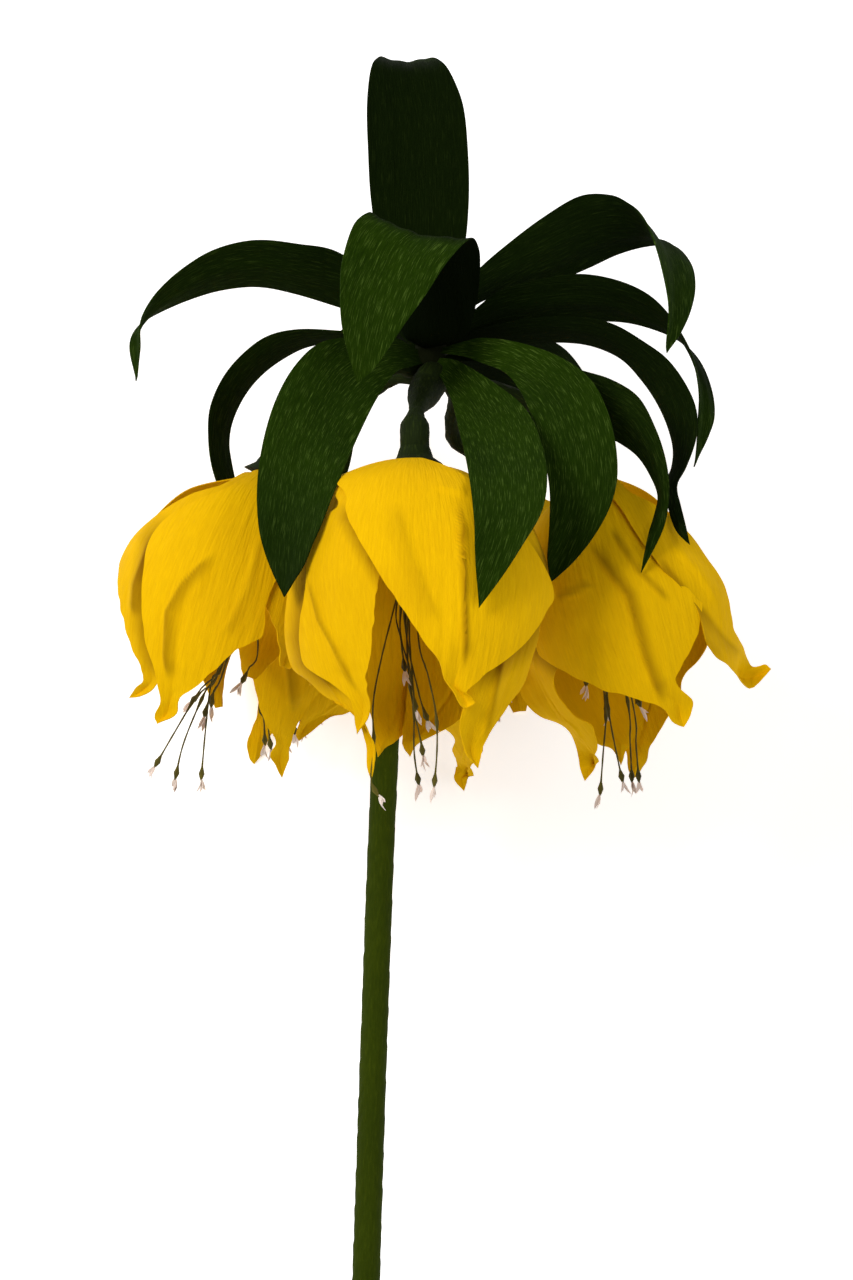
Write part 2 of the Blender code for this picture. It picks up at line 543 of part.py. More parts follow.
def petal_rows(bell, petal):
    """Rows of points across one petal, from where the petals meet to its tip."""
    top, axis, outward, right = bell_frame(bell)
    profile = bell_profile(bell, petal["layer"])
    run, radii, depths = profile
    edges = plain_edges(petal, profile) if "plain" in petal else drawn_edges(bell, petal, profile)
    weights = np.array([1, 0.5, 1, 1, 0.5, 1])
    edges = smooth_path(np.array(edges) * weights, PETAL_ROWS + 1) / weights
    rows = []
    for at1, angle1, away1, at2, angle2, away2 in edges:
        shared = min(away1, away2)
        row = []
        for s in np.linspace(-1, 1, PETAL_COLUMNS + 1):
            w = (s + 1) / 2
            at, angle = at1 * (1 - w) + at2 * w, angle1 * (1 - w) + angle2 * w
            bow1, bow2 = max(0, -s) ** EDGE_BOW, max(0, s) ** EDGE_BOW
            away = shared + (away1 - shared) * bow1 + (away2 - shared) * bow2
            radius = np.interp(at, run, radii) * section(bell, angle) + away
            spoke = math.cos(math.radians(angle)) * outward + math.sin(math.radians(angle)) * right
            row.append(top + np.interp(at, run, depths) * axis + radius * spoke)
        rows.append(row)
    return rows


def build_stem(parent):
    line = [seen(x, z, 0.0) for x, z, radius in STEM_LINE]
    return tube("stem", line, [radius for x, z, radius in STEM_LINE], STEM_SIDES, STEM_GREEN, parent)


def build_leaves(parent):
    for name, drawn in LEAVES.items():
        sheet(name, leaf_rows(drawn), LEAF_THICK, LEAF_GREEN, parent)


def build_bells(parent):
    for name, bell in BELLS.items():
        tube(f"{name}_stalk", stalk_line(bell), stalk_radii(), STALK_SIDES, STEM_GREEN, parent)
        stamen_cluster(f"{name}_stamens", bell, parent)
        for k, petal in enumerate(bell["petals"]):
            sheet(f"{name}_petal_{k + 1}", petal_rows(bell, petal), PETAL_THICK, PETAL_YELLOW, parent)


def clear_scene():
    for old in list(bpy.data.objects):
        bpy.data.objects.remove(old, do_unlink=True)


def main():
    clear_scene()
    laid = bpy.data.objects.new("laid_down", None)
    bpy.context.scene.collection.objects.link(laid)
    turned = Matrix.Rotation(math.radians(LEAN - 90), 4, "X") @ Matrix.Rotation(math.radians(ROLL), 4, "Z")
    laid.matrix_world = Matrix.Translation(Vector(CROWN_AT) * MM) @ turned
    build_stem(laid)
    build_leaves(laid)
    build_bells(laid)


main()
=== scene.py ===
import math

import bpy
import numpy as np
from mathutils import Matrix, Vector


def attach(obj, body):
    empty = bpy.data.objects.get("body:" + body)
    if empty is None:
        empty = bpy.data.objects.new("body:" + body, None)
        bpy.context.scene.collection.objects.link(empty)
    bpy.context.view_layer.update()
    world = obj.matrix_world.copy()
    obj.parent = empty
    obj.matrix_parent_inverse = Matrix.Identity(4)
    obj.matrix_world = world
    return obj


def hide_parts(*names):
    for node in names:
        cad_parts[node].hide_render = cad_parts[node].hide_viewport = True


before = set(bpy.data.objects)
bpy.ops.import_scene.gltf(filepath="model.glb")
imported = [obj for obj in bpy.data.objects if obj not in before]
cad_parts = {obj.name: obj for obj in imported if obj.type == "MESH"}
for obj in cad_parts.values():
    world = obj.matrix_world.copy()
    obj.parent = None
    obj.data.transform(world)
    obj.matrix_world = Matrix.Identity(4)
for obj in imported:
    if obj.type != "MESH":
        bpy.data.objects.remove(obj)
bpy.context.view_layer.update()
print("frame loaded:", len(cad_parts), "nodes")

# The flower is drawn upright in millimetres: x right, y away from the viewer, z up the stem, with the
# origin in the crown. laidDown then puts it on its back, resting on two bells and one leaf.
mm = 0.001
lean, roll = 13.49, -4.94
crownAt = (-3.0, 114.8, 127.1)
laidDown = (
    Matrix.Translation(Vector(crownAt) * mm)
    @ Matrix.Rotation(math.radians(lean - 90), 4, "X")
    @ Matrix.Rotation(math.radians(roll), 4, "Z")
)

# Outlines are drawn on a grid of 0.36 mm squares, x to the right and z down, as seen from the eye.
gridStep = 0.36
crown = (428.0, 370.0)
centre = (426.5, 640.0)
eye = 2000.0
weldWithin = 2e-6  # corners closer than this many metres are merged


# Lines and places.
def unit(v):
    return v / np.linalg.norm(v)


def compass(degrees):  # level direction: 0 towards the viewer, 90 to the right
    a = math.radians(degrees)
    return np.array([math.sin(a), -math.cos(a), 0.0])


def seen(x, z, depth):  # the point at a depth in mm that looks to be at grid x and z
    share = gridStep * (1 + depth / eye)
    return np.array([
        (x - centre[0]) * share + (centre[0] - crown[0]) * gridStep,
        depth,
        (centre[1] - z) * share - (centre[1] - crown[1]) * gridStep,
    ])


def smoothPath(points, count):  # Catmull-Rom through the points, then even steps of its length
    p = np.array(points, float)
    p = np.vstack([2 * p[0] - p[1], p, 2 * p[-1] - p[-2]])
    fine = []
    for k in range(len(p) - 3):
        a, b, c, d = p[k : k + 4]
        for t in np.arange(0, 1, 0.1):
            fine.append(
                0.5 * (2 * b + (c - a) * t + (2 * a - 5 * b + 4 * c - d) * t**2
                       + (3 * b - a - 3 * c + d) * t**3)
            )
    fine = np.array(fine + [p[-2]])
    run = np.concatenate([[0], np.cumsum(np.linalg.norm(np.diff(fine, axis=0), axis=1))])
    at = np.linspace(0, run[-1], count)
    return np.column_stack([np.interp(at, run, fine[:, k]) for k in range(fine.shape[1])])


def directions(line):
    last = len(line) - 1
    return [unit(line[min(k + 1, last)] - line[max(k - 1, 0)]) for k in range(len(line))]


def smoothStep(low, high, value):
    t = np.clip((value - low) / (high - low), 0, 1)
    return t * t * (3 - 2 * t)


def ripple(u, v, wide, long, seed, parts=7):  # soft uneven folds that run along v, from -1 to 1
    dice = np.random.default_rng(seed)
    total = np.zeros_like(u)
    for _ in range(parts):
        k = dice.uniform(0.5, 1.6) * 2 * math.pi / wide
        m = dice.uniform(-1, 1) * 2 * math.pi / long
        total += dice.uniform(0.5, 1) * np.sin(k * u + m * v + dice.uniform(0, 2 * math.pi))
    return total / (0.75 * math.sqrt(parts) * 1.6)


# Paper sheets and wrapped tubes.
def toWorld(points):
    turned = np.array(laidDown.to_3x3())
    return points * mm @ turned.T + np.array(laidDown.translation)


def dropSelection():
    bpy.ops.object.select_all(action="DESELECT")


def paperGrid(name, points, across, along, paintedShade=None):
    # a grid primitive whose corners are moved to the points; across and along are its UV in mm,
    # and tone gives the painted shade: how light the paper is painted at each point
    rows, columns = points.shape[0] - 1, points.shape[1] - 1
    dropSelection()
    bpy.ops.mesh.primitive_grid_add(x_subdivisions=columns, y_subdivisions=rows, size=2)
    made = bpy.context.object
    made.name = made.data.name = name
    mesh = made.data
    flat = np.empty(len(mesh.vertices) * 3)
    mesh.vertices.foreach_get("co", flat)
    flat = flat.reshape(-1, 3)
    j = np.rint((flat[:, 0] + 1) / 2 * columns).astype(int)
    i = np.rint((flat[:, 1] + 1) / 2 * rows).astype(int)
    mesh.vertices.foreach_set("co", toWorld(points[i, j]).ravel())
    corner = np.empty(len(mesh.loops), int)
    mesh.loops.foreach_get("vertex_index", corner)
    uv = np.column_stack([across[i, j][corner], along[i, j][corner]])
    mesh.uv_layers[0].data.foreach_set("uv", uv.ravel())
    mesh.uv_layers[0].name = "grain"
    # painted shade goes into the shade attribute
    if paintedShade is not None:
        mesh.attributes.new("shade", "FLOAT", "POINT").data.foreach_set("value", paintedShade[i, j])
    mesh.update()
    return made


def closeUp(made, thick=None, fillEnds=False, angle=50):
    # merges what meets, gives a sheet its thickness, and shades the piece
    bpy.ops.object.mode_set(mode="EDIT")
    bpy.ops.mesh.select_all(action="SELECT")
    bpy.ops.mesh.remove_doubles(threshold=weldWithin)
    if fillEnds:
        bpy.ops.mesh.fill_holes(sides=0)
    bpy.ops.mesh.select_all(action="SELECT")
    bpy.ops.mesh.normals_make_consistent(inside=False)
    bpy.ops.object.mode_set(mode="OBJECT")
    if thick:
        wall = made.modifiers.new("wall", "SOLIDIFY")
        wall.thickness = thick * mm
        wall.offset = 0.0
        bpy.ops.object.modifier_apply(modifier="wall")
    bpy.ops.object.shade_smooth_by_angle(angle=math.radians(angle))
    return made


def normalsOf(points):
    du = np.gradient(points, axis=1)
    dv = np.gradient(points, axis=0)
    n = np.cross(du, dv)
    size = np.linalg.norm(n, axis=2, keepdims=True)
    return n / np.where(size < 1e-9, 1, size)


def lengthsOf(points):
    # distance across from the middle column, and along the middle column, in mm
    middle = points.shape[1] // 2
    step = np.linalg.norm(np.diff(points, axis=1), axis=2)
    across = np.concatenate([np.zeros((points.shape[0], 1)), np.cumsum(step, axis=1)], axis=1)
    across -= across[:, middle : middle + 1]
    run = np.linalg.norm(np.diff(points[:, middle], axis=0), axis=1)
    along = np.concatenate([[0], np.cumsum(run)])
    return across, np.repeat(along[:, None], points.shape[1], axis=1)


# Materials.
def nodeTree(name):
    made = bpy.data.materials.new(name)
    made.use_nodes = True
    return made, made.node_tree, made.node_tree.nodes["Principled BSDF"]


def link(tree, a, b):
    tree.links.new(a, b)


# Colours are linear; grain is how many threads lie in a mm across and along the sheet, bump is in mm.
# deep: the painted shade colour, mixed in where a piece's shade attribute falls to 0.
threadLook = dict(detail=4.0, roughness=0.65, fleckFrom=0.54, fleckTo=0.70, rampFrom=0.33, rampTo=0.68)
blotchLook = dict(scale=38.0, detail=3.0, roughnessSpread=0.08)
ridgeLook = dict(across=0.3, along=0.35, detail=1.0)
crepeLooks = {
    "leafCrepe": dict(
        dark=(0.009, 0.025, 0.0004), light=(0.020, 0.048, 0.0008), deep=(0.0022, 0.0050, 0.0003),
        fleck=(0.11, 0.18, 0.03), fleckShare=0.75, grain=(3.0, 0.14),
        bump=0.7, roughness=0.85, specular=0.03,
    ),
    "petalCrepe": dict(
        dark=(0.74, 0.41, 0.0003), light=(0.86, 0.505, 0.0005), deep=(0.20, 0.085, 0.0003),
        fleck=(0.93, 0.58, 0.001), fleckShare=0.12, grain=(1.7, 0.12),
        bump=0.26, roughness=0.8, specular=0.04, ridge=1.6,
    ),
    "stemCrepe": dict(
        dark=(0.022, 0.036, 0.0004), light=(0.034, 0.052, 0.0008), deep=(0.0035, 0.0045, 0.0008),
        fleck=(0.05, 0.07, 0.003), fleckShare=0.3, grain=(1.2, 0.2),
        bump=0.3, roughness=0.8, specular=0.05,
    ),
    "stalkCrepe": dict(
        dark=(0.0045, 0.0095, 0.0006), light=(0.011, 0.020, 0.0012),
        fleck=(0.04, 0.06, 0.008), fleckShare=0.4, grain=(1.4, 0.3),
        bump=0.4, roughness=0.8, specular=0.1,
    ),
    "filamentOlive": dict(
        dark=(0.03, 0.026, 0.003), light=(0.13, 0.11, 0.012),
        fleck=(0.18, 0.14, 0.02), fleckShare=0.3, grain=(1.0, 0.3),
        bump=0.1, roughness=0.7, specular=0.15, blotch=0.6,
    ),
    "tuftPaper": dict(
        dark=(0.66, 0.50, 0.42), light=(0.90, 0.84, 0.78),
        fleck=(0.9, 0.75, 0.68), fleckShare=0.4, grain=(1.5, 0.3),
        bump=0.1, roughness=0.8, specular=0.15, blotch=0.6,
    ),
}


def crepeMaterial(name):
    look = crepeLooks[name]
    made, tree, shader = nodeTree(name)
    nodes = tree.nodes
    uv = nodes.new("ShaderNodeUVMap")
    uv.uv_map = "grain"
    fine = nodes.new("ShaderNodeMapping")  # thin threads along the sheet
    fine.inputs["Scale"].default_value = (*look["grain"], 1)
    link(tree, uv.outputs["UV"], fine.inputs["Vector"])
    threads = nodes.new("ShaderNodeTexNoise")
    threads.inputs["Scale"].default_value = 1.0
    threads.inputs["Detail"].default_value = threadLook["detail"]
    threads.inputs["Roughness"].default_value = threadLook["roughness"]
    link(tree, fine.outputs["Vector"], threads.inputs["Vector"])
    where = nodes.new("ShaderNodeTexCoord")
    wide = nodes.new("ShaderNodeTexNoise")  # slow change of shade over the piece
    wide.inputs["Scale"].default_value = blotchLook["scale"]
    wide.inputs["Detail"].default_value = blotchLook["detail"]
    link(tree, where.outputs["Object"], wide.inputs["Vector"])
    ramp = nodes.new("ShaderNodeValToRGB")
    ramp.color_ramp.elements[0].position = threadLook["rampFrom"]
    ramp.color_ramp.elements[0].color = (*look["dark"], 1)
    ramp.color_ramp.elements[1].position = threadLook["rampTo"]
    ramp.color_ramp.elements[1].color = (*look["light"], 1)
    mixed = nodes.new("ShaderNodeMix")
    mixed.data_type = "FLOAT"
    mixed.inputs[0].default_value = look.get("blotch", 0.35)
    link(tree, threads.outputs["Fac"], mixed.inputs[2])
    link(tree, wide.outputs["Fac"], mixed.inputs[3])
    link(tree, mixed.outputs[0], ramp.inputs["Fac"])
    flecks = nodes.new("ShaderNodeMapRange")  # the brightest threads catch the light
    flecks.inputs["From Min"].default_value = threadLook["fleckFrom"]
    flecks.inputs["From Max"].default_value = threadLook["fleckTo"]
    link(tree, threads.outputs["Fac"], flecks.inputs["Value"])
    share = nodes.new("ShaderNodeMath")
    share.operation = "MULTIPLY"
    share.inputs[1].default_value = look["fleckShare"]
    link(tree, flecks.outputs["Result"], share.inputs[0])
    colour = nodes.new("ShaderNodeMix")
    colour.data_type = "RGBA"
    link(tree, share.outputs[0], colour.inputs[0])
    link(tree, ramp.outputs["Color"], colour.inputs[6])
    colour.inputs[7].default_value = (*look["fleck"], 1)
    # painted shade: the deep colour is mixed in where the shade attribute is low
    if "deep" in look:
        shade = nodes.new("ShaderNodeAttribute")
        shade.attribute_name = "shade"
        paintedShadeMix = nodes.new("ShaderNodeMix")
        paintedShadeMix.data_type = "RGBA"
        paintedShadeMix.inputs[6].default_value = (*look["deep"], 1)
        link(tree, shade.outputs["Fac"], paintedShadeMix.inputs[0])
        link(tree, colour.outputs[2], paintedShadeMix.inputs[7])
        link(tree, paintedShadeMix.outputs[2], shader.inputs["Base Color"])
    else:
        link(tree, colour.outputs[2], shader.inputs["Base Color"])
    rough = nodes.new("ShaderNodeMapRange")
    rough.inputs["To Min"].default_value = look["roughness"] - blotchLook["roughnessSpread"]
    rough.inputs["To Max"].default_value = look["roughness"] + blotchLook["roughnessSpread"]
    link(tree, wide.outputs["Fac"], rough.inputs["Value"])
    link(tree, rough.outputs["Result"], shader.inputs["Roughness"])
    shader.inputs["Specular IOR Level"].default_value = look["specular"]
    lines = nodes.new("ShaderNodeTexNoise")  # long soft ridges between the threads
    lines.inputs["Scale"].default_value = 1.0
    lines.inputs["Detail"].default_value = ridgeLook["detail"]
    long = nodes.new("ShaderNodeMapping")
    across, along = look["grain"]
    long.inputs["Scale"].default_value = (across * ridgeLook["across"], along * ridgeLook["along"], 1)
    link(tree, uv.outputs["UV"], long.inputs["Vector"])
    link(tree, long.outputs["Vector"], lines.inputs["Vector"])
    ridges = nodes.new("ShaderNodeMath")
    ridges.operation = "MULTIPLY_ADD"
    ridges.inputs[1].default_value = look.get("ridge", 0.8)
    link(tree, lines.outputs["Fac"], ridges.inputs[0])
    link(tree, threads.outputs["Fac"], ridges.inputs[2])
    bump = nodes.new("ShaderNodeBump")
    bump.inputs["Distance"].default_value = look["bump"] * mm
    bump.inputs["Strength"].default_value = 1.0
    link(tree, ridges.outputs[0], bump.inputs["Height"])
    link(tree, bump.outputs["Normal"], shader.inputs["Normal"])
    return made


crepe = {name: crepeMaterial(name) for name in crepeLooks}
print("materials made")


def finishPiece(made, material, *nodes, slot=None):
    made.data.materials.clear()
    made.data.materials.append(material)
    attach(made, "root")
    if nodes:
        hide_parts(*nodes)


# Leaves, from base to tip: grid x and z of one edge, of the other, the depth of the middle in
# mm, and how much farther away the second edge is
leafPaper = dict(
    rows=84, columns=20, thick=0.5, cup=0.18, cupPower=1.4, wave=0.35, waveWide=11.0, waveLong=60.0,
    calmUntil=0.12, firstSeed=100,
)
leaves = {
    "leaf_upright": [
        (434, 334, 427, 334, 5, 0), (450, 300, 404, 300, 11, 0), (464, 250, 380, 250, 15, 0),
        (469, 200, 371, 200, 18, 0), (468, 150, 368, 150, 20, 0), (463, 105, 367, 105, 23, 0),
        (450, 72, 371, 68, 28, 0), (438, 60, 378, 58, 37, 0), (428, 58, 385, 59, 50, 0),
        (420, 64, 392, 64, 61, 0), (408, 80, 408, 80, 72, 0),
    ],
    "leaf_folded_front": [
        (422, 347, 432, 347, -4.9, 0), (405, 336, 464, 337, -12, -4), (388, 300, 476, 305, -16, -6),
        (373, 255, 480, 272, -21, -6), (367, 225, 479, 249, -28, -4), (370, 213, 470, 239, -37, 0),
        (354, 224, 448, 261, -46, 0), (342, 262, 426, 294, -52, 0), (340, 295, 404, 325, -55, 0),
        (342, 325, 388, 350, -57, 0), (348, 352, 374, 369, -57, 0), (357, 383, 357, 383, -56, 0),
    ],
    "leaf_left_high": [
        (417, 352, 417, 336, 0, -1), (385, 322, 388, 290, -3, -8), (341, 308, 340, 253, -6, -12),
        (295, 294, 298, 244, -8, -14), (258, 287, 255, 240, -9, -14), (222, 290, 215, 249, -10, -14),
        (190, 299, 183, 268, -11, -14), (162, 311, 157, 292, -12, -13), (144, 322, 143, 314, -13, -11),
        (133, 335, 140, 330, -14, -9), (130, 352, 141, 350, -14, -5), (136, 381, 136, 381, -14, 0),
    ],
    "leaf_left_low": [
        (418, 360, 417, 353, 1.3, 0), (385, 352, 380, 335, 6, -4), (345, 342, 342, 331, 9, -8),
        (309, 346, 300, 329, 13, -10), (284, 358, 268, 336, 17, -12), (262, 375, 243, 354, 21, -12),
        (245, 396, 223, 378, 25, -12), (233, 421, 210, 408, 28, -12), (229, 443, 208, 438, 30, -12),
        (231, 462, 211, 465, 31, -10), (236, 490, 220, 492, 32, -6), (236, 530, 236, 530, 32, 0),
    ],
    "leaf_front_left": [
        (418, 350, 425, 364, -3.4, 0), (392, 337, 413, 366, -12, 0), (358, 338, 396, 372, -24, -4),
        (322, 342, 377, 398, -40, -8), (296, 364, 359, 434, -54, -12), (276, 399, 345, 466, -66, -18),
        (263, 442, 332, 497, -78, -20), (257, 488, 320, 529, -87, -20), (259, 528, 308, 555, -92, -16),
        (268, 562, 298, 575, -97, -10), (284, 597, 284, 597, -100, 0),
    ],
    "leaf_front_middle": [
        (430, 366, 440, 358, -4.9, 0), (441, 378, 460, 362, -16, 0), (452, 402, 497, 385, -36, 0),
        (459, 430, 527, 411, -60, 0), (466, 460, 542, 445, -82, 0), (471, 490, 547, 478, -98, 0),
        (474, 520, 541, 512, -108, 0), (475, 552, 521, 548, -114, 0), (477, 582, 499, 580, -117, 0),
        (479, 608, 479, 608, -118, 0),
    ],
    "leaf_front_right": [
        (439, 353, 443, 348, -3.6, 0), (462, 356, 462, 342, -12, 0), (482, 363, 484, 338, -20, 0),
        (504, 372, 521, 343, -32, 0), (519, 389, 560, 357, -45, 0), (530, 412, 591, 380, -57, 0),
        (539, 437, 609, 415, -66, 0), (546, 465, 617, 455, -74, 0), (550, 495, 615, 490, -79, 0),
        (549, 530, 600, 527, -82, 0), (547, 558, 574, 561, -83, 0), (551, 582, 551, 582, -84, 0),
    ],
    "leaf_right_low": [
        (444, 356, 444, 362, -1.8, 0), (485, 346, 480, 362, -10, 4), (530, 350, 520, 380, -22, 6),
        (575, 368, 562, 405, -34, 8), (610, 379, 592, 428, -42, 10), (638, 397, 620, 443, -48, 10),
        (655, 428, 638, 456, -52, 10), (665, 458, 650, 474, -55, 10), (669, 485, 658, 495, -57, 9),
        (668, 508, 655, 514, -59, 6), (662, 532, 649, 535, -61, 3), (641, 573, 641, 573, -64, 0),
    ],
    "leaf_right_middle": [
        (445, 344, 445, 350, -0.9, 0), (480, 329, 480, 346, -2, 6), (520, 320, 520, 344, -4, 8),
        (562, 317, 560, 342, -7, 10), (608, 323, 592, 346, -11, 12), (645, 343, 621, 359, -15, 12),
        (669, 361, 641, 380, -19, 12), (688, 388, 656, 402, -23, 12), (697, 413, 667, 426, -27, 12),
        (696, 440, 673, 449, -31, 12), (686, 468, 672, 468, -34, 10), (677, 485, 667, 482, -38, 6),
        (681, 506, 668, 506, -48, 2), (686, 526, 676, 530, -55, 1), (690, 545, 690, 545, -59, 0),
    ],
    "leaf_right_upper": [
        (445, 336, 445, 342, 0, 0), (468, 315, 470, 335, 0, 4), (500, 291, 502, 329, -1, 8),
        (540, 279, 545, 324, -3, 10), (578, 274, 590, 321, -5, 12), (612, 279, 625, 322, -6, 12),
        (642, 291, 655, 330, -8, 12), (663, 308, 680, 342, -10, 12), (681, 333, 700, 362, -12, 12),
        (692, 357, 712, 390, -14, 10), (698, 385, 715, 416, -16, 8), (699, 412, 708, 437, -17, 5),
        (694, 467, 694, 467, -18, 0),
    ],
    "leaf_right_high": [
        (443, 326, 443, 332, 0.6, 0), (455, 300, 458, 318, 1, 3), (478, 270, 484, 300, 2, 6),
        (510, 242, 520, 290, 3, 8), (545, 216, 558, 280, 4, 10), (580, 196, 590, 267, 4, 12),
        (610, 195, 618, 254, 2, 14), (628, 203, 648, 246, -1, 16), (641, 214, 674, 246, -7, 18),
        (652, 234, 691, 264, -14, 16), (661, 263, 695, 287, -20, 13), (667, 297, 690, 312, -24, 10),
        (668, 328, 680, 334, -26, 5), (667, 353, 667, 353, -27, 0),
    ],
    "leaf_back_right": [
        (444, 352, 439, 352, 3.9, 0), (475, 338, 453, 362, 16, -4), (520, 334, 478, 388, 32, -6),
        (559, 345, 505, 415, 47, -8), (585, 375, 528, 440, 59, -8), (600, 415, 545, 462, 67, -8),
        (605, 455, 555, 482, 72, -8), (600, 490, 566, 504, 75, -6), (580, 530, 580, 530, 77, 0),
    ],
    "leaf_back_left": [
        (424, 352, 418, 352, 4.1, 0), (400, 345, 395, 325, 18, -4), (370, 350, 356, 322, 38, -6),
        (358, 372, 330, 342, 56, -8), (356, 405, 305, 380, 72, -8), (354, 440, 296, 425, 83, -8),
        (348, 470, 294, 465, 90, -6), (336, 495, 300, 497, 94, -4), (318, 530, 318, 530, 96, 0),
    ],
    "leaf_back_middle": [
        (437, 344, 430, 344, 4.9, 0), (446, 318, 414, 318, 24, 0), (460, 298, 402, 298, 50, 0),
        (466, 285, 398, 285, 78, 0), (465, 282, 401, 282, 103, 0), (458, 293, 407, 293, 122, 0),
        (448, 318, 417, 318, 132, 0), (434, 354, 434, 354, 134, 0),
    ],
}


def leafPoints(drawn, seed):
    p = leafPaper
    edges = [(*seen(x1, z1, y - dy / 2), *seen(x2, z2, y + dy / 2)) for x1, z1, x2, z2, y, dy in drawn]
    edges = smoothPath(edges, p["rows"] + 1)
    middles = (edges[:, :3] + edges[:, 3:]) / 2
    s = np.linspace(-1, 1, p["columns"] + 1)
    rows = []
    for edge, middle, along in zip(edges, middles, directions(middles)):
        half = (edge[3:] - edge[:3]) / 2
        upper = np.cross(along, half)
        sag = (1 - np.abs(s) ** p["cupPower"]) * p["cup"]
        rows.append(middle + s[:, None] * half - sag[:, None] * upper)
    points = np.array(rows)
    across, along = lengthsOf(points)
    calm = smoothStep(0, p["calmUntil"], np.linspace(0, 1, p["rows"] + 1))[:, None]
    lift = p["wave"] * calm * ripple(across, along, p["waveWide"], p["waveLong"], seed)
    return points + normalsOf(points) * lift[:, :, None], across, along


def setPaintedShade(made, values):  # painted shade: how light the paper is painted at each corner of the mesh, from its UV
    mesh = made.data
    shade = mesh.attributes.new("shade", "FLOAT", "CORNER")
    shade.data.foreach_set("value", values)


def alongOf(made):
    uv = np.empty(len(made.data.loops) * 2)
    made.data.uv_layers["grain"].data.foreach_get("uv", uv)
    return uv[1::2]


# painted shade of each leaf from the base to the tip, dark where it lies in shadow and light where it faces
# the light: share of the length, then lightness
leafPaintedShade = {
    "leaf_folded_front": [(0, 0), (0.44, 0), (0.5, 1), (1, 0.8)],
    "leaf_front_left": [(0, 0.25), (0.15, 0.8), (0.6, 0.95), (0.9, 0.45), (1, 0.3)],
    "leaf_front_middle": [(0, 0.9), (0.4, 1), (1, 0.75)],
    "leaf_front_right": [(0, 0.6), (0.15, 1), (0.7, 0.8), (1, 0.35)],
    "leaf_upright": [(0, 0.05), (0.3, 0.12), (0.75, 0.1), (0.85, 0.9), (1, 1)],
    "leaf_left_high": [(0, 0.1), (0.4, 0.3), (0.8, 0.5), (1, 0.7)],
    "leaf_left_low": [(0, 0.1), (0.5, 0.35), (0.8, 0.3), (1, 0.3)],
    "leaf_right_high": [(0, 0.2), (0.3, 0.2), (0.6, 0.12), (0.72, 0.7), (1, 0.8)],
    "leaf_right_upper": [(0, 0.15), (0.4, 0.12), (0.75, 0.2), (0.85, 0.7), (1, 0.7)],
    "leaf_right_middle": [(0, 0.02), (0.5, 0.12), (0.8, 0.25), (1, 0.2)],
    "leaf_right_low": [(0, 0.05), (0.5, 0.25), (0.75, 0.5), (1, 0.6)],
    "leaf_back_right": [(0, 0), (0.3, 0.02), (0.6, 0.3), (1, 0.5)],
    "leaf_back_left": [(0, 0), (0.3, 0.05), (0.6, 0.4), (1, 0.5)],
    "leaf_back_middle": [(0, 0.1), (0.3, 0.5), (1, 0.7)],
}


for index, (name, drawn) in enumerate(leaves.items()):
    sheet = leafPoints(drawn, leafPaper["firstSeed"] + index)
    leaf = closeUp(paperGrid(name.replace("leaf_", "leafPaper_"), *sheet), leafPaper["thick"])
    # painted shade along the leaf, from the table above
    down = alongOf(leaf)
    setPaintedShade(leaf, np.interp(down / down.max(), *zip(*leafPaintedShade[name])))
    finishPiece(leaf, crepe["leafCrepe"], name, slot="leaf_green")
print("leaves laid:", len(leaves))

# Bells. Sizes in petalPaper are in mm, and pinchFrom is in shares of the petal's length.
petalPaper = dict(
    rows=90, columns=60, thick=0.4, grainRadius=34.0, firstSeed=300,
    wave=0.09, waveWide=7.0, waveLong=90.0, waveFromHalf=12, bend=1.6,
    foldTimes=3.5, foldWide=30.0, foldLong=200.0, foldParts=4, foldSeed=1000,
    ragged=0.4, raggedSpan=90, raggedWide=7.0, raggedLong=50.0,
    pinch=0.5, pinchHalf=4, pinchFrom=(0.78, 0.97), crease=1.5, slenderHalf=10, midFold=0.5, midFoldHalf=1.5,
)
# painted shade of the petals: lightness of the far sheets, and of the near ones by their layer
paintedShadeLevels = dict(far=0.82, layers=(-2.6, 1.4), lightness=(0.82, 1.0))
# radius and depth along the side of a bell
bellSide = [
    (5.0, 0.4), (15, 3), (27, 12), (35, 28), (39, 46), (38, 63), (34, 79), (28, 92), (23, 102),
    (21, 112), (21, 160),
]
# half width of a plain petal along its length
petalHalfWidths = [2.2, 9, 19, 26, 30.5, 29, 19, 9, 2.5]
bellLean = 17.0  # degrees from straight down
bellLength = 102.0  # depth that a plain petal of length 1 reaches
sightReach, sightStep = 90, 0.25  # how far and how finely a line of sight is followed
topSpread = 25  # half of a drawn petal's angle where it starts
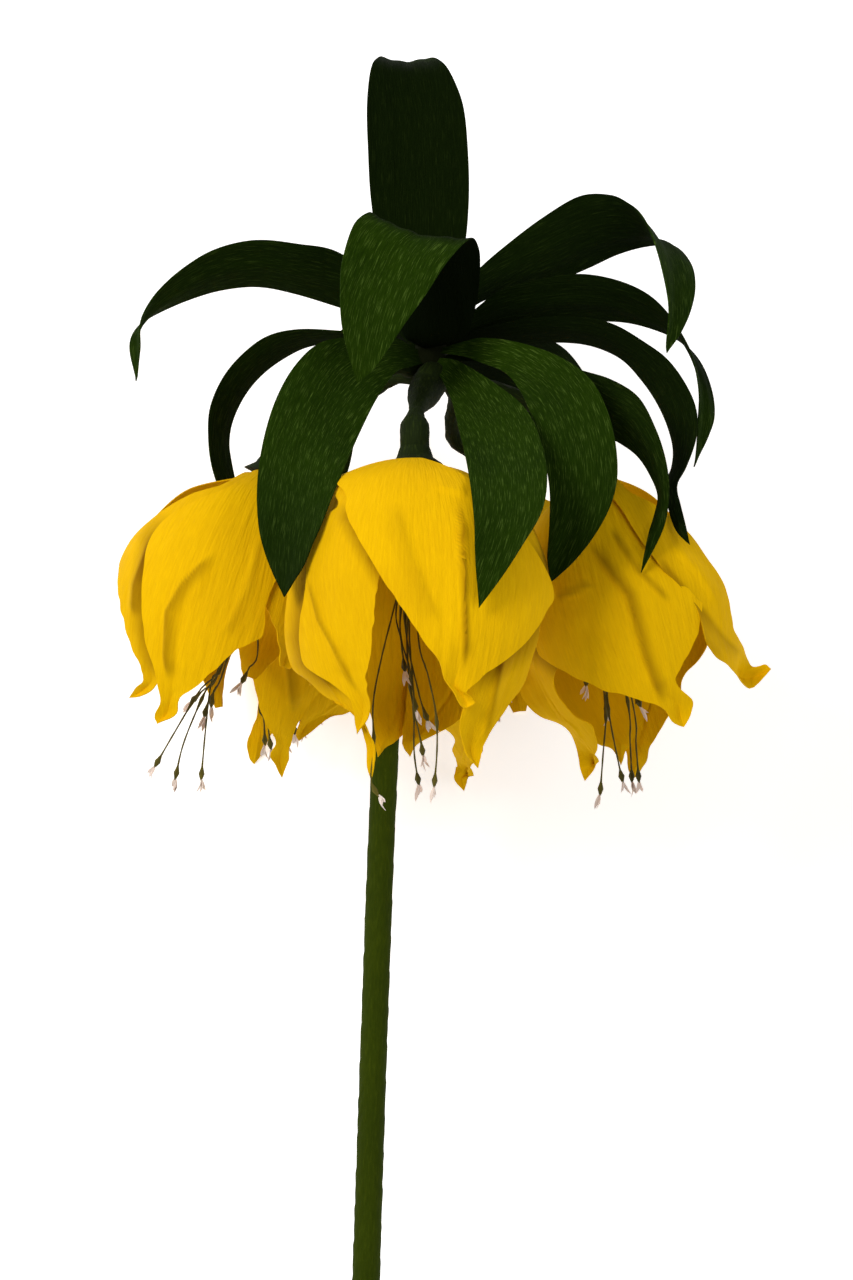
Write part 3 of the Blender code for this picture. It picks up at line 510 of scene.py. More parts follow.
# A drawn petal lists grid x and z of its left and of its right edge from near the top to the tip.
# A plain petal gives its angle about the bell from the outward side, shares of the usual width and
# length, outward flare and turn of the tip in mm and degrees. layer: how far out it lies in mm.
# creases: a path on the grid, the depth, and its width to the left and right in mm. lines: the same
# for a line of painted shade in a fold or a painted shadow under another petal's edge, with how dark it is.
bells = {
    "bell_front": dict(
        top=(-4.5, -60, -37.5), leansTo=3, girth=1.0, swell=[(85, 0.22), (-88, 0.22)],
        stalk=(380, [(424, 393, -14), (416.5, 411, -38)]),
        thick=[(0, 5.8), (0.08, 6.2), (0.18, 5.8), (0.35, 3.9), (0.5, 2.8)],
        petals=[
            dict(layer=1.6, lines=[
                ([(460, 494), (463, 580), (465, 672)], 0.75, 1.5, 1.7),
                ([(395, 500), (412, 560), (440, 625)], 0.25, 8, 2),
            ], creases=[
                ([(461, 505), (463, 580), (465, 664)], 0.9, 1.3, 1.3),
                ([(461, 505), (463, 580), (465, 664)], 0.8, 12, 9),
                ([(434, 487), (466, 495)], 0.7, 1.5, 5),
                ([(395, 500), (412, 560), (440, 625)], 0.4, 7, 3),
            ], drawn=[
                (366, 471, 470, 480), (343, 490, 503, 508), (346, 512, 531, 545), (364, 548, 553, 592),
                (380, 575, 546, 612), (400, 605, 521, 648), (420, 635, 492, 669), (440, 664, 474, 684),
                (444, 678, 467, 692), (453, 692, 471, 698), (461, 706, 475, 703), (467, 708, 467, 708)]),
            dict(layer=-0.5, lines=[
                ([(531, 535), (554, 592), (547, 612), (521, 648), (492, 669), (470, 690)], 0.6, 6, 6),
                ([(520, 575), (502, 650), (484, 745)], 0.45, 1.3, 1.6),
            ], creases=[
                ([(520, 575), (502, 650), (484, 745)], 0.9, 1.4, 8),
                ([(535, 600), (512, 670), (498, 715)], -0.6, 5, 4),
            ], drawn=[
                (440, 477, 486, 487), (462, 500, 522, 510), (470, 540, 541, 548), (470, 590, 546, 592),
                (468, 630, 541, 622), (466, 665, 533, 655), (464, 700, 520, 689), (460, 725, 495, 722),
                (462, 742, 484, 744), (468, 756, 481, 756), (478, 768, 478, 768)]),
            dict(layer=-1.7, far=True, drawn=[
                (410, 490, 470, 490), (415, 530, 500, 530), (412, 580, 520, 580), (410, 630, 520, 630),
                (408, 680, 500, 680), (405, 715, 465, 715), (402, 738, 437, 734), (404, 748, 417, 744),
                (410, 757, 410, 757)]),
            dict(layer=0.0, far=True, drawn=[
                (335, 490, 440, 490), (322, 530, 465, 530), (318, 580, 475, 580), (322, 630, 468, 630),
                (342, 675, 448, 680), (370, 712, 420, 716), (374, 735, 399, 738), (376, 748, 386, 748),
                (378, 757, 378, 757)]),
            dict(layer=-2.1, lines=[
                ([(326, 505), (309, 555), (304, 592), (299, 638), (304, 663), (325, 681), (350, 700)],
                 0.6, 5, 5),
            ], drawn=[
                (345, 480, 385, 490), (320, 507, 380, 530), (298, 546, 372, 575), (288, 592, 368, 610),
                (285, 638, 366, 650), (292, 667, 362, 680), (311, 683, 360, 700), (330, 699, 362, 715),
                (352, 712, 369, 732), (362, 730, 375, 748), (367, 765, 374, 766), (371, 780, 371, 780)]),
            dict(layer=0.0, lines=[
                ([(340, 500), (346, 512), (364, 548), (380, 575), (400, 605)], 0.6, 5, 5),
                ([(306, 574), (318, 620), (332, 645), (358, 696)], 0.5, 1.2, 1.4),
            ], creases=[
                ([(308, 580), (318, 620), (332, 645), (350, 688)], -0.7, 7, 9),
                ([(308, 580), (318, 620), (332, 645), (350, 688)], 0.9, 1.3, 1.3),
                ([(344, 520), (372, 562)], 0.8, 1.2, 5),
            ], drawn=[
                (358, 476, 420, 484), (338, 500, 400, 530), (322, 520, 385, 560), (309, 555, 378, 583),
                (304, 592, 375, 605), (299, 638, 372, 640), (304, 663, 369, 662), (325, 681, 366, 678),
                (346, 694, 367, 690), (352, 704, 370, 702), (354, 716, 369, 716), (357, 734, 357, 734)]),
        ],
    ),
    "bell_left": dict(
        top=(-56, -18, -39), leansTo=-72, girth=1.0, swell=[(-18, 0.12)],
        stalk=(371, [(395, 367, -5), (345, 384, -9), (302, 418, -13)]),
        petals=[
            dict(layer=1.4, lines=[
                ([(218, 550), (183, 585), (168, 612), (166, 655), (169, 686)], 0.6, 1.4, 4),
                ([(262, 530), (248, 590), (222, 640)], 0.3, 1.6, 4),
            ], creases=[
                ([(214, 554), (183, 585), (168, 612), (166, 655), (169, 680)], 1.1, 1.5, 7),
                ([(200, 565), (186, 595), (179, 634), (171, 692)], -0.7, 4, 3),
                ([(262, 530), (248, 590), (222, 640)], 0.5, 2, 7),
            ], drawn=[
                (235, 484, 292, 505), (200, 499, 292, 540), (168, 517, 278, 575), (150, 540, 266, 605),
                (143, 580, 262, 636), (143, 625, 236, 650), (150, 655, 216, 669), (157, 680, 195, 687),
                (160, 700, 180, 698), (155, 715, 176, 714), (157, 724, 157, 724)]),
            dict(layer=-0.2, plain=(114, 0.95, 0.68, 0, 0)),
            dict(layer=-1.7, plain=(174, 0.95, 0.68, 0, 0)),
            dict(layer=-0.2, plain=(234, 0.95, 0.7, 0, 0)),
            dict(layer=-1.7, plain=(290, 0.95, 0.78, 0, 6)),
            dict(layer=-0.1, lines=[
                ([(172, 510), (150, 540), (143, 580), (143, 625), (150, 655), (157, 685)], 0.55, 5, 5),
                ([(157, 530), (137, 585), (134, 620)], 0.4, 1.6, 3),
            ], creases=[
                ([(155, 535), (137, 585), (134, 615)], 0.9, 3, 5),
                ([(150, 560), (147, 620), (146, 660)], -0.5, 3, 3),
            ], drawn=[
                (228, 482, 250, 500), (190, 495, 225, 520), (150, 521, 200, 540), (126, 548, 180, 565),
                (118, 580, 165, 600), (122, 612, 155, 640), (131, 645, 153, 662), (142, 670, 158, 676),
                (142, 682, 156, 684), (134, 690, 148, 694), (129, 698, 129, 698)]),
        ],
    ),
    "bell_right": dict(
        top=(55, -20, -40), leansTo=73, girth=0.96, swell=[],
        stalk=(375, [(470, 381, -6), (515, 396, -12), (552, 420, -16)]),
        petals=[
            dict(layer=-0.2, lines=[
                ([(562, 535), (550, 575), (541, 620), (538, 652), (562, 670), (605, 692)], 0.6, 5, 5),
            ], drawn=[
                (560, 505, 600, 510), (548, 545, 603, 555), (538, 600, 598, 610), (524, 655, 562, 658),
                (519, 685, 554, 686), (526, 703, 564, 703), (541, 717, 576, 716), (566, 728, 592, 725),
                (577, 750, 597, 746), (580, 768, 595, 766), (585, 781, 585, 781)]),
            dict(layer=1.4, lines=[
                ([(586, 538), (629, 596), (645, 655), (666, 712)], 0.65, 1.5, 4),
                ([(608, 524), (638, 572), (672, 604)], 0.5, 1.5, 2),
                ([(556, 600), (594, 584)], 0.5, 1.5, 3),
            ], creases=[
                ([(590, 545), (629, 596), (645, 655), (664, 704)], 1.2, 1.4, 12),
                ([(612, 530), (638, 572), (668, 600)], 0.7, 1.4, 6),
                ([(560, 598), (592, 585)], 0.6, 1.5, 7),
                ([(575, 620), (610, 650), (640, 690)], -0.6, 6, 5),
            ], drawn=[
                (580, 497, 622, 500), (562, 535, 650, 530), (550, 575, 678, 562), (541, 620, 697, 588),
                (538, 652, 702, 605), (562, 670, 697, 634), (600, 688, 689, 654), (640, 700, 675, 680),
                (663, 708, 692, 700), (673, 723, 692, 713), (684, 727, 684, 727)]),
            dict(layer=2.9, lines=[
                ([(655, 552), (699, 602), (744, 660)], 0.4, 4, 1.5),
                ([(650, 550), (685, 588), (701, 612), (707, 643), (726, 665)], 0.35, 5, 5),
            ], creases=[
                ([(655, 556), (699, 602), (740, 655)], -1.0, 6, 8),
                ([(672, 545), (700, 575), (722, 610)], 0.6, 1.4, 4),
            ], drawn=[
                (600, 487, 622, 485), (618, 505, 655, 505), (637, 535, 688, 532), (658, 563, 708, 560),
                (685, 588, 723, 583), (701, 612, 729, 604), (707, 643, 736, 631), (722, 661, 745, 652),
                (738, 677, 753, 667), (752, 688, 764, 664), (771, 669, 771, 669)]),
            dict(layer=-0.2, far=True, drawn=[
                (600, 520, 675, 520), (605, 560, 700, 560), (608, 610, 712, 605), (610, 650, 707, 646),
                (612, 680, 684, 676), (616, 705, 678, 700), (622, 730, 662, 727), (626, 752, 650, 748),
                (628, 768, 643, 768), (632, 780, 632, 780)]),
            dict(layer=-1.7, far=True, drawn=[
                (560, 520, 640, 520), (546, 560, 658, 560), (541, 610, 664, 610), (546, 660, 662, 655),
                (560, 700, 655, 690), (580, 728, 642, 720), (597, 743, 634, 738), (612, 749, 628, 748),
                (621, 765, 621, 765)]),
            dict(layer=-2.6, plain=(262, 0.85, 0.6, 0, 0)),
        ],
    ),
    "bell_back_left": dict(
        top=(-40, 47, -42), leansTo=-139, girth=0.95, swell=[],
        stalk=(377, [(393, 378, 13), (362, 400, 25), (338, 432, 38)]),
        petals=[
            dict(layer=1.4, lines=[
                ([(283, 590), (288, 658), (294, 718)], 0.5, 1.6, 4),
            ], creases=[
                ([(285, 600), (288, 658), (293, 710)], 1.0, 2, 7),
                ([(324, 688), (300, 720), (288, 752)], -0.8, 5, 3),
            ], drawn=[
                (280, 505, 345, 505), (262, 535, 360, 535), (252, 575, 362, 575), (248, 615, 355, 620),
                (248, 645, 342, 658), (251, 670, 325, 688), (258, 700, 306, 712), (266, 724, 295, 732),
                (276, 741, 290, 748), (271, 757, 288, 762), (282, 778, 282, 778)]),
            dict(layer=-0.2, drawn=[
                (325, 500, 365, 500), (328, 540, 385, 540), (328, 590, 392, 590), (322, 640, 390, 640),
                (312, 680, 378, 682), (304, 705, 353, 709), (300, 722, 328, 719), (296, 735, 306, 736),
                (299, 741, 299, 741)]),
            dict(layer=-1.7, plain=(263, 0.95, 0.82, 0, 6)),
            dict(layer=-0.2, plain=(80, 0.8, 0.66, 0, 0)),
            dict(layer=-1.7, plain=(23, 0.95, 0.9, 0, -5)),
            dict(layer=-0.2, far=True, drawn=[
                (290, 505, 330, 505), (272, 540, 330, 545), (262, 590, 328, 600), (258, 640, 320, 650),
                (258, 690, 298, 690), (257, 715, 283, 715), (250, 733, 271, 735), (247, 747, 266, 745),
                (249, 757, 261, 755), (254, 764, 254, 764)]),
        ],
    ),
    "bell_back_right": dict(
        top=(24, 54, -42), leansTo=156, girth=0.95, swell=[],
        stalk=(372, [(455, 396, 20), (452, 420, 33), (457, 440, 44)]),
        petals=[
            dict(layer=1.7, drawn=[
                (450, 510, 530, 512), (432, 545, 548, 545), (425, 590, 552, 590), (424, 640, 545, 640),
                (430, 690, 527, 680), (440, 722, 500, 716), (455, 740, 486, 738), (456, 760, 478, 760),
                (454, 778, 468, 776), (464, 791, 464, 791)]),
            dict(layer=-0.2, plain=(264, 0.95, 0.82, 0, 0)),
            dict(layer=-1.7, plain=(324, 0.95, 0.88, 0, 5)),
            dict(layer=-0.2, plain=(24, 0.95, 0.92, 0, 0)),
            dict(layer=-1.7, plain=(84, 0.95, 0.86, 0, -5)),
            dict(layer=-0.2, plain=(144, 0.95, 0.84, 0, 0)),
        ],
    ),
}


def bellFrame(bell):  # top, axis towards the mouth, and two directions across it: outward, right
    a, out, down = math.radians(bellLean), compass(bell["leansTo"]), np.array([0.0, 0.0, -1.0])
    axis = math.cos(a) * down + math.sin(a) * out
    outward = unit(out - axis * (out @ axis))
    return np.array(bell["top"], float), axis, outward, np.cross(outward, axis)


def bellProfile(bell, layer):  # run, radius and depth along the side of the bell, moved out by layer
    side = smoothPath(bellSide, 120)
    side[:, 0] = 1.6 + (side[:, 0] - 1.6) * bell["girth"]
    along = np.array(directions(side))
    side = side + layer * np.column_stack([along[:, 1], -along[:, 0]])
    run = np.concatenate([[0], np.cumsum(np.linalg.norm(np.diff(side, axis=0), axis=1))])
    return run, side[:, 0], side[:, 1]


def section(bell, angle):  # share of the usual radius at an angle in degrees: a bell isn't quite round
    share = 1.0
    for middle, more in bell["swell"]:
        share = share + more * np.clip(np.cos(np.radians(angle - middle)), 0, 1) ** 2
    return share


def onBell(bell, profile, x, z, way=-1):
    # run and angle where the bell is seen, and how far off the bell the point is
    top, axis, outward, right = bellFrame(bell)
    run, radii, depths = profile
    start, step = seen(x, z, 0.0) - top, seen(x, z, 1.0) - seen(x, z, 0.0)
    flat, flatStep = start - (start @ axis) * axis, step - (step @ axis) * axis
    middle = -(flat @ flatStep) / (flatStep @ flatStep)
    tries = start + (middle + way * np.arange(0, sightReach, sightStep))[:, None] * step
    depth = tries @ axis
    spoke = tries - depth[:, None] * axis
    radius = np.linalg.norm(spoke, axis=1)
    angle = np.degrees(np.arctan2(spoke @ right, spoke @ outward))
    wanted = np.interp(depth, depths, radii) * section(bell, angle)
    k = int(np.argmax(radius >= wanted))
    off = max(0.0, radius[k] - wanted[k])
    return float(np.interp(depth[k], depths, run)), float(angle[k]), float(off)


def nearTurn(angle, other):
    return other + (angle - other + 180) % 360 - 180


def petalEdges(bell, petal, profile, count):
    # rows of run, angle and distance off the bell for the left edge, then for the right edge
    run, radii, depths = profile
    if "plain" in petal:
        angle, width, length, flare, turn = petal["plain"]
        lengthwise = np.interp(bellLength, depths, run)
        rows = []
        for k in range(len(petalHalfWidths)):
            t = k / (len(petalHalfWidths) - 1)
            tip = max(0.0, (t - 0.7) / 0.3)
            at = t * lengthwise * length
            radius = np.interp(at, run, radii)
            spread = math.degrees(petalHalfWidths[k] * width / radius)
            away = flare * tip**1.5
            rows.append((at, angle + turn * tip - spread, away, at, angle + turn * tip + spread, away))
    else:
        rows, before, way = [], None, 1 if petal.get("far") else -1
        for x1, z1, x2, z2 in petal["drawn"]:
            left, right = onBell(bell, profile, x1, z1, way), onBell(bell, profile, x2, z2, way)
            a = left[1] if before is None else nearTurn(left[1], before)
            before = a
            rows.append((left[0], a, left[2], right[0], nearTurn(right[1], a), right[2]))
        middle = (rows[0][1] + rows[0][4]) / 2
        rows.insert(0, (0.0, middle + topSpread * way, 0.0, 0.0, middle - topSpread * way, 0.0))
    weights = np.array([1, 0.5, 1, 1, 0.5, 1])  # a degree counts as half a mm where steps are evened out
    return smoothPath(np.array(rows) * weights, count + 1) / weights


def onGrid(points):  # grid x and z where the points are seen
    share = gridStep * (1 + points[:, :, 1] / eye)
    x = (points[:, :, 0] - (centre[0] - crown[0]) * gridStep) / share + centre[0]
    z = centre[1] - (points[:, :, 2] + (centre[1] - crown[1]) * gridStep) / share
    return np.stack([x, z], axis=2)


def creaseDepth(points, path, deep, wideLeft, wideRight):
    # a valley, or a ridge where deep is negative, along a path drawn on the grid; widths in mm
    place, path = onGrid(points), np.array(path, float)
    run = np.concatenate([[0], np.cumsum(np.linalg.norm(np.diff(path, axis=0), axis=1))])
    nearest = np.full(place.shape[:2], 1e9)
    total = np.zeros(place.shape[:2])
    for k in range(len(path) - 1):
        long = run[k + 1] - run[k]
        step = (path[k + 1] - path[k]) / long
        off = place - path[k]
        down = np.clip(off @ step, 0, long)
        rest = off - down[:, :, None] * step
        apart = np.linalg.norm(rest, axis=2) * gridStep
        wide = np.where(rest[:, :, 0] * step[1] - rest[:, :, 1] * step[0] < 0, wideLeft, wideRight)
        share = (run[k] + down) / run[-1]
        shown = smoothStep(0, 0.18, share) * (1 - smoothStep(0.85, 1, share))
        closer = apart < nearest
        nearest = np.where(closer, apart, nearest)
        total = np.where(closer, deep * shown * np.clip(1 - apart / wide, 0, 1), total)
    return total


def petalPoints(bell, petal, seed):
    p = petalPaper
    top, axis, outward, right = bellFrame(bell)
    profile = bellProfile(bell, petal["layer"])
    run, radii, depths = profile
    edges = petalEdges(bell, petal, profile, p["rows"])
    t = np.linspace(0, 1, p["rows"] + 1)
    frayed = smoothStep(0.3, 0.8, t) * (1 - smoothStep(0.96, 1, t)) * p["ragged"]
    for column, shift, times in ((0, 0, 1), (1, 50, 1.4), (3, 100, 1), (4, 150, 1.4)):  # runs and angles
        uneven = ripple(t * p["raggedSpan"] + shift, t, p["raggedWide"], p["raggedLong"], seed + column)
        edges[:, column] += frayed * uneven * times
    s = np.linspace(-1, 1, p["columns"] + 1)
    w = (s + 1) / 2
    at = edges[:, :1] * (1 - w) + edges[:, 3:4] * w
    degrees = edges[:, 1:2] * (1 - w) + edges[:, 4:5] * w
    angle = np.radians(degrees)
    # what both edges stand off the bell moves the whole row, and the rest bends only its own side
    offLeft, offRight = edges[:, 2], edges[:, 5]
    alike = np.sign(offLeft) == np.sign(offRight)
    shared = np.where(alike, np.minimum(np.abs(offLeft), np.abs(offRight)), 0)
    shared = (shared * np.sign(offLeft))[:, None]
    away = shared + (edges[:, 2:3] - shared) * np.clip(-s, 0, 1) ** p["bend"]
    away = away + (edges[:, 5:6] - shared) * np.clip(s, 0, 1) ** p["bend"]
    radius = np.interp(at, run, radii) * section(bell, degrees) + away
    depth = np.interp(at, run, depths)
    points = (
        top + depth[:, :, None] * axis
        + radius[:, :, None] * (np.cos(angle)[:, :, None] * outward + np.sin(angle)[:, :, None] * right)
    )
    half = np.abs(lengthsOf(points)[0]).max(axis=1, keepdims=True)
    across, along = (angle - angle.mean()) * p["grainRadius"], at  # the grain runs straight down
    calm = smoothStep(0, 0.25, t) * (0.6 + 0.8 * smoothStep(0.6, 0.95, t))  # flat at the top
    calm = calm[:, None] * smoothStep(0, p["waveFromHalf"], half)
    lift = p["wave"] * calm * ripple(across, along, p["waveWide"], p["waveLong"], seed)
    folds = ripple(across, along, p["foldWide"], p["foldLong"], seed + p["foldSeed"], p["foldParts"])
    lift += p["wave"] * p["foldTimes"] * calm * folds
    tip = smoothStep(*p["pinchFrom"], t)[:, None]  # the tip is pinched along its middle
    lift += p["pinch"] * tip * np.minimum(half, p["pinchHalf"]) * (1 - np.abs(s))
    slender = np.minimum(1, half / p["slenderHalf"])
    if "creases" in petal:
        lift -= p["crease"] * sum(creaseDepth(points, *crease) for crease in petal["creases"]) * slender
    else:
        shown = (smoothStep(0.3, 0.4, t) * (1 - smoothStep(0.9, 0.97, t)))[:, None]
        lift -= p["midFold"] * shown * slender * np.clip(1 - np.abs(s) * half / p["midFoldHalf"], 0, 1)
    if petal.get("far"):
        lift = -lift
    return points + normalsOf(points) * lift[:, :, None], across, along, petalPaintedShade(petal, points)


def petalPaintedShade(petal, points):
    # painted shade: deeper sheets are painted darker, and so are folds and what is close under another
    # petal's edge
    paintedShade = np.full(points.shape[:2], paintedShadeLevels["far"])
    if not petal.get("far"):
        paintedShade[:] = np.interp(petal["layer"], paintedShadeLevels["layers"], paintedShadeLevels["lightness"])
    for line in petal.get("lines", []):
        paintedShade -= creaseDepth(points, *line)
    return np.clip(paintedShade, 0, 1)


for bellIndex, (bellName, bell) in enumerate(bells.items()):
    for k, petal in enumerate(bell["petals"]):
        sheet = petalPoints(bell, petal, petalPaper["firstSeed"] + 10 * bellIndex + k)
        made = closeUp(paperGrid(f"{bellName}_paper_{k + 1}", *sheet), petalPaper["thick"])
        finishPiece(made, crepe["petalCrepe"], f"{bellName}_petal_{k + 1}", slot="petal_yellow")
print("petals laid:", sum(len(bell["petals"]) for bell in bells.values()))

# Stem and stalks: a strip of crepe rolled round a line, with the laps of the winding
stemWrap = dict(sides=40, rows=420, lap=0.22, pitch=13.0, rough=0.10, seed=5)
stalkWrap = dict(sides=28, rows=90, lap=0.16, pitch=7.0, rough=0.22, seed=20)
wrapLumps = dict(span=9, slant=0.2, wide=9.0, long=7.0, parts=9)
# grid x and z of the centre line from the crown down to the cut end, and the radius in mm
stemLine = [
    (431, 326, 4.0), (431, 335, 5.4), (431, 360, 5.9), (431, 382, 6.0), (428, 393, 4.6), (419, 404, 3.0),
    (416, 413, 2.7), (411, 440, 3.0), (406, 480, 3.6), (396, 600, 4.3), (384, 780, 4.7), (374, 1040, 4.8),
    (366, 1280, 4.9), (362, 1390, 4.9),
]
crownX, stemTop, stemEnd = stemLine[0][0], stemLine[0][1], stemLine[-1][1]
stemThick = [((z - stemTop) / (stemEnd - stemTop), radius) for _, z, radius in stemLine]
stemPaintedShade = [(0, 0.0), (45, 0.15), (95, 1.0)]  # mm from the top, lightness: painted shade darkens the head of it, under the leaves
# share of a stalk's length, radius in mm; a bell may give its own start
stalkStart = [(0, 2.6)]
stalkThick = [(0.55, 2.6), (0.7, 3.9), (0.76, 5.0), (0.9, 5.2), (0.96, 6.6), (1, 10.0)]
stalkFoot = (5.3, 8)  # mm out from the middle of the crown
stalkEnd = (14, 8, 2.4, 0.7)  # mm above the top of the bell


def wrapPoints(line, radii, wrap, seed):
    # rings round the line; the last turn of each row falls on the first one
    line = smoothPath(line, wrap["rows"] + 1)
    run = np.concatenate([[0], np.cumsum(np.linalg.norm(np.diff(line, axis=0), axis=1))])
    radii = np.interp(run / run[-1], *zip(*radii))
    turns = np.linspace(0, 2 * math.pi, wrap["sides"] + 1)
    side, rings = np.array([1.0, 0.1, 0.1]), []
    for along, middle in zip(directions(line), line):
        side = unit(side - along * (side @ along))
        other = np.cross(along, side)
        rings.append(np.cos(turns)[:, None] * side + np.sin(turns)[:, None] * other)
    rings = np.array(rings)
    turn, down = np.meshgrid(turns, run)
    lap = (down / wrap["pitch"] + turn / (2 * math.pi)) % 1.0  # one step up at each lap of the strip
    step = wrap["lap"] * (smoothStep(0, 0.12, lap) - lap)
    k = wrapLumps
    bumps = wrap["rough"] * ripple(
        np.cos(turn) * k["span"] + down * k["slant"], np.sin(turn) * k["span"] + down,
        k["wide"], k["long"], seed, k["parts"],
    )
    radius = radii[:, None] + step + bumps
    points = line[:, None, :] + rings * radius[:, :, None]
    return points, turn * radii.mean(), down


def stalkLine(bell):  # from the side of the crown through the drawn points to just above the petals
    top, axis, _, _ = bellFrame(bell)
    height, drawn = bell["stalk"]
    start, out = seen(crownX, height, 0.0), compass(bell["leansTo"])
    line = [start + away * out for away in stalkFoot]
    line += [seen(*point) for point in drawn]
    return line + [top - above * axis for above in stalkEnd]


centreLine = [seen(x, z, 0.0) for x, z, _ in stemLine]
rolled = wrapPoints(centreLine, stemThick, stemWrap, stemWrap["seed"])
stem = closeUp(paperGrid("stemWrapped", *rolled), fillEnds=True)
# painted shade on the head of the stem
setPaintedShade(stem, np.interp(alongOf(stem), *zip(*stemPaintedShade)))
finishPiece(stem, crepe["stemCrepe"], "stem", slot="stem_green")
for index, (bellName, bell) in enumerate(bells.items()):
    thick = bell.get("thick", stalkStart) + stalkThick
    rolled = wrapPoints(stalkLine(bell), thick, stalkWrap, stalkWrap["seed"] + index)
    stalk = closeUp(paperGrid(f"{bellName}_stalkWrapped", *rolled), fillEnds=True)
    finishPiece(stalk, crepe["stalkCrepe"], f"{bellName}_stalk", slot="stem_green")
print("stem and stalks wrapped")

# Stamens: each filament is drawn by grid x and z from the mouth down; the last number is how far
# its end hangs behind the bell's axis in mm
filamentWire = dict(
    radius=0.3, sides=6, steps=44, knot=1.15, knotLong=3.4, knotAt=2.2, joint=0.45, jointLong=4.4,
    tipRadius=0.25, ring=1.9, spread=1.3, startsAt=5.2, straightTo=18, firstSeed=900,
)
tuftSlip = dict(count=4, long=5.6, wide=1.3, thick=0.16, inset=0.8)
filaments = {
    "bell_front": [
        ([(396, 600), (381, 660), (373, 705), (374, 745), (371, 780), (379, 797)], -14),
        ([(397, 603), (401, 640), (405, 672)], -4),
        ([(408, 615), (408, 665), (413, 705), (421, 742), (423, 757)], 2),
        ([(418, 635), (428, 675), (436, 714), (437, 750), (434, 788)], -8),
        ([(409, 625), (414, 700), (414, 750), (419, 786)], 6),
        ([(405, 620), (418, 690), (428, 722)], 8),
        ([(400, 620), (410, 670), (416, 712)], 0),
    ],
    "bell_left": [
        ([(222, 660), (200, 690), (173, 735), (154, 768)], -6),
        ([(222, 662), (205, 692), (184, 742), (175, 780)], 4),
        ([(224, 660), (212, 680), (206, 725), (201, 781)], 0),
        ([(226, 664), (209, 700), (204, 718)], 8),
        ([(224, 668), (214, 690), (211, 708)], -3),
        ([(220, 668), (203, 690), (190, 703)], 10),
        ([(258, 645), (249, 668), (241, 684)], 14),
    ],
    "bell_right": [
        ([(604, 690), (606, 716), (603, 755), (600, 796)], -6),
        ([(607, 690), (611, 725), (619, 765), (623, 783)], 2),
        ([(627, 697), (630, 740), (632, 783)], 8),
        ([(632, 700), (636, 745), (639, 783)], 3),
        ([(634, 690), (638, 700), (641, 708)], -8),
        ([(590, 660), (587, 675), (586, 687)], -4),
        ([(606, 680), (606, 700), (607, 714)], 6),
    ],
    "bell_back_left": [
        ([(262, 690), (264, 720), (265, 746)], -4),
        ([(264, 690), (268, 725), (271, 750)], 3),
        ([(285, 690), (284, 725), (286, 742)], 8),
        ([(290, 680), (300, 710), (303, 728)], -2),
        ([(296, 680), (312, 705), (316, 716)], 6),
        ([(280, 680), (276, 700), (275, 726)], 12),
        ([(288, 690), (292, 715), (295, 735)], 0),
    ],
    "bell_back_right": [
        ([(500, 640), (492, 690), (488, 722)], 4),
        ([(502, 640), (500, 690), (497, 712)], 10),
        ([(498, 640), (482, 700), (472, 740)], -2),
        ([(500, 640), (488, 700), (479, 732)], 8),
        ([(505, 640), (508, 675), (508, 694)], 6),
        ([(496, 640), (470, 690), (462, 730)], 2),
        ([(500, 640), (494, 690), (490, 716)], 0),
    ],
}
plugRadii = [(-1.3, 3.1), (0, 3.1), (2, 3.1), (4, 3.1), (5.4, 2.7), (6.0, 1.6)]  # depth, radius
plugSides = 14
mouthFrom = 450  # grid z above which no filament has left the bell's axis


def onAxis(bell, z):  # depth of the bell's axis at grid z
    top, axis, _, _ = bellFrame(bell)
    height = (centre[1] - z) * gridStep - (centre[1] - crown[1]) * gridStep
    return (top + axis * (height - top[2]) / axis[2])[1]


def filamentLine(bell, drawn, back, index):
    top, axis, outward, right = bellFrame(bell)
    w = filamentWire
    turn = 2 * math.pi * index / 6
    side = np.zeros(3) if index == 0 else w["ring"] * (math.cos(turn) * outward + math.sin(turn) * right)
    line = [top + w["startsAt"] * axis + side, top + w["straightTo"] * axis + w["spread"] * side]
    lowest = drawn[-1][1]
    for x, z in drawn:
        share = smoothStep(0, 1, (z - mouthFrom) / (lowest - mouthFrom))
        line.append(seen(x, z, onAxis(bell, z) + back * share))
    return smoothPath(line, w["steps"])


def tubePoints(line, radii, sides):
    turns = np.linspace(0, 2 * math.pi, sides + 1)
    side, rings = np.array([1.0, 0.13, 0.1]), []
    for along in directions(line):
        side = unit(side - along * (side @ along))
        rings.append(np.cos(turns)[:, None] * side + np.sin(turns)[:, None] * np.cross(along, side))
    points = line[:, None, :] + np.array(rings) * radii[:, None, None]
    run = np.concatenate([[0], np.cumsum(np.linalg.norm(np.diff(line, axis=0), axis=1))])
    turn, down = np.meshgrid(turns, run)
    return points, turn, down


def slipPoints(root, toward, flat, long, wide):  # one pointed slip of paper in a tuft
    t = np.linspace(0, 1, 7)
    half = wide * np.interp(t, [0, 0.25, 0.7, 1], [0.35, 0.9, 1.0, 0.0]) / 2
    s = np.linspace(-1, 1, 3)
    bow = 0.12 * long * np.sin(t * math.pi)
    normal = np.cross(toward, flat)
    points = (
        root + (t * long)[:, None, None] * toward + (half[:, None] * s)[:, :, None] * flat
        + (bow[:, None] - 0.25 * np.abs(half[:, None] * s))[:, :, None] * normal
    )
    return points, np.repeat(s[None, :], 7, axis=0), np.repeat((t * long)[:, None], 3, axis=1)


def joinPieces(pieces, name):
    dropSelection()
    for piece in pieces:
        piece.select_set(True)
    bpy.context.view_layer.objects.active = pieces[0]
    bpy.ops.object.join()
    pieces[0].name = pieces[0].data.name = name
    return pieces[0]


def hump(run, at, long):  # 1 at a place along the run, falling off within half of long
    return np.exp(-(((run - at) / (long / 2)) ** 2))


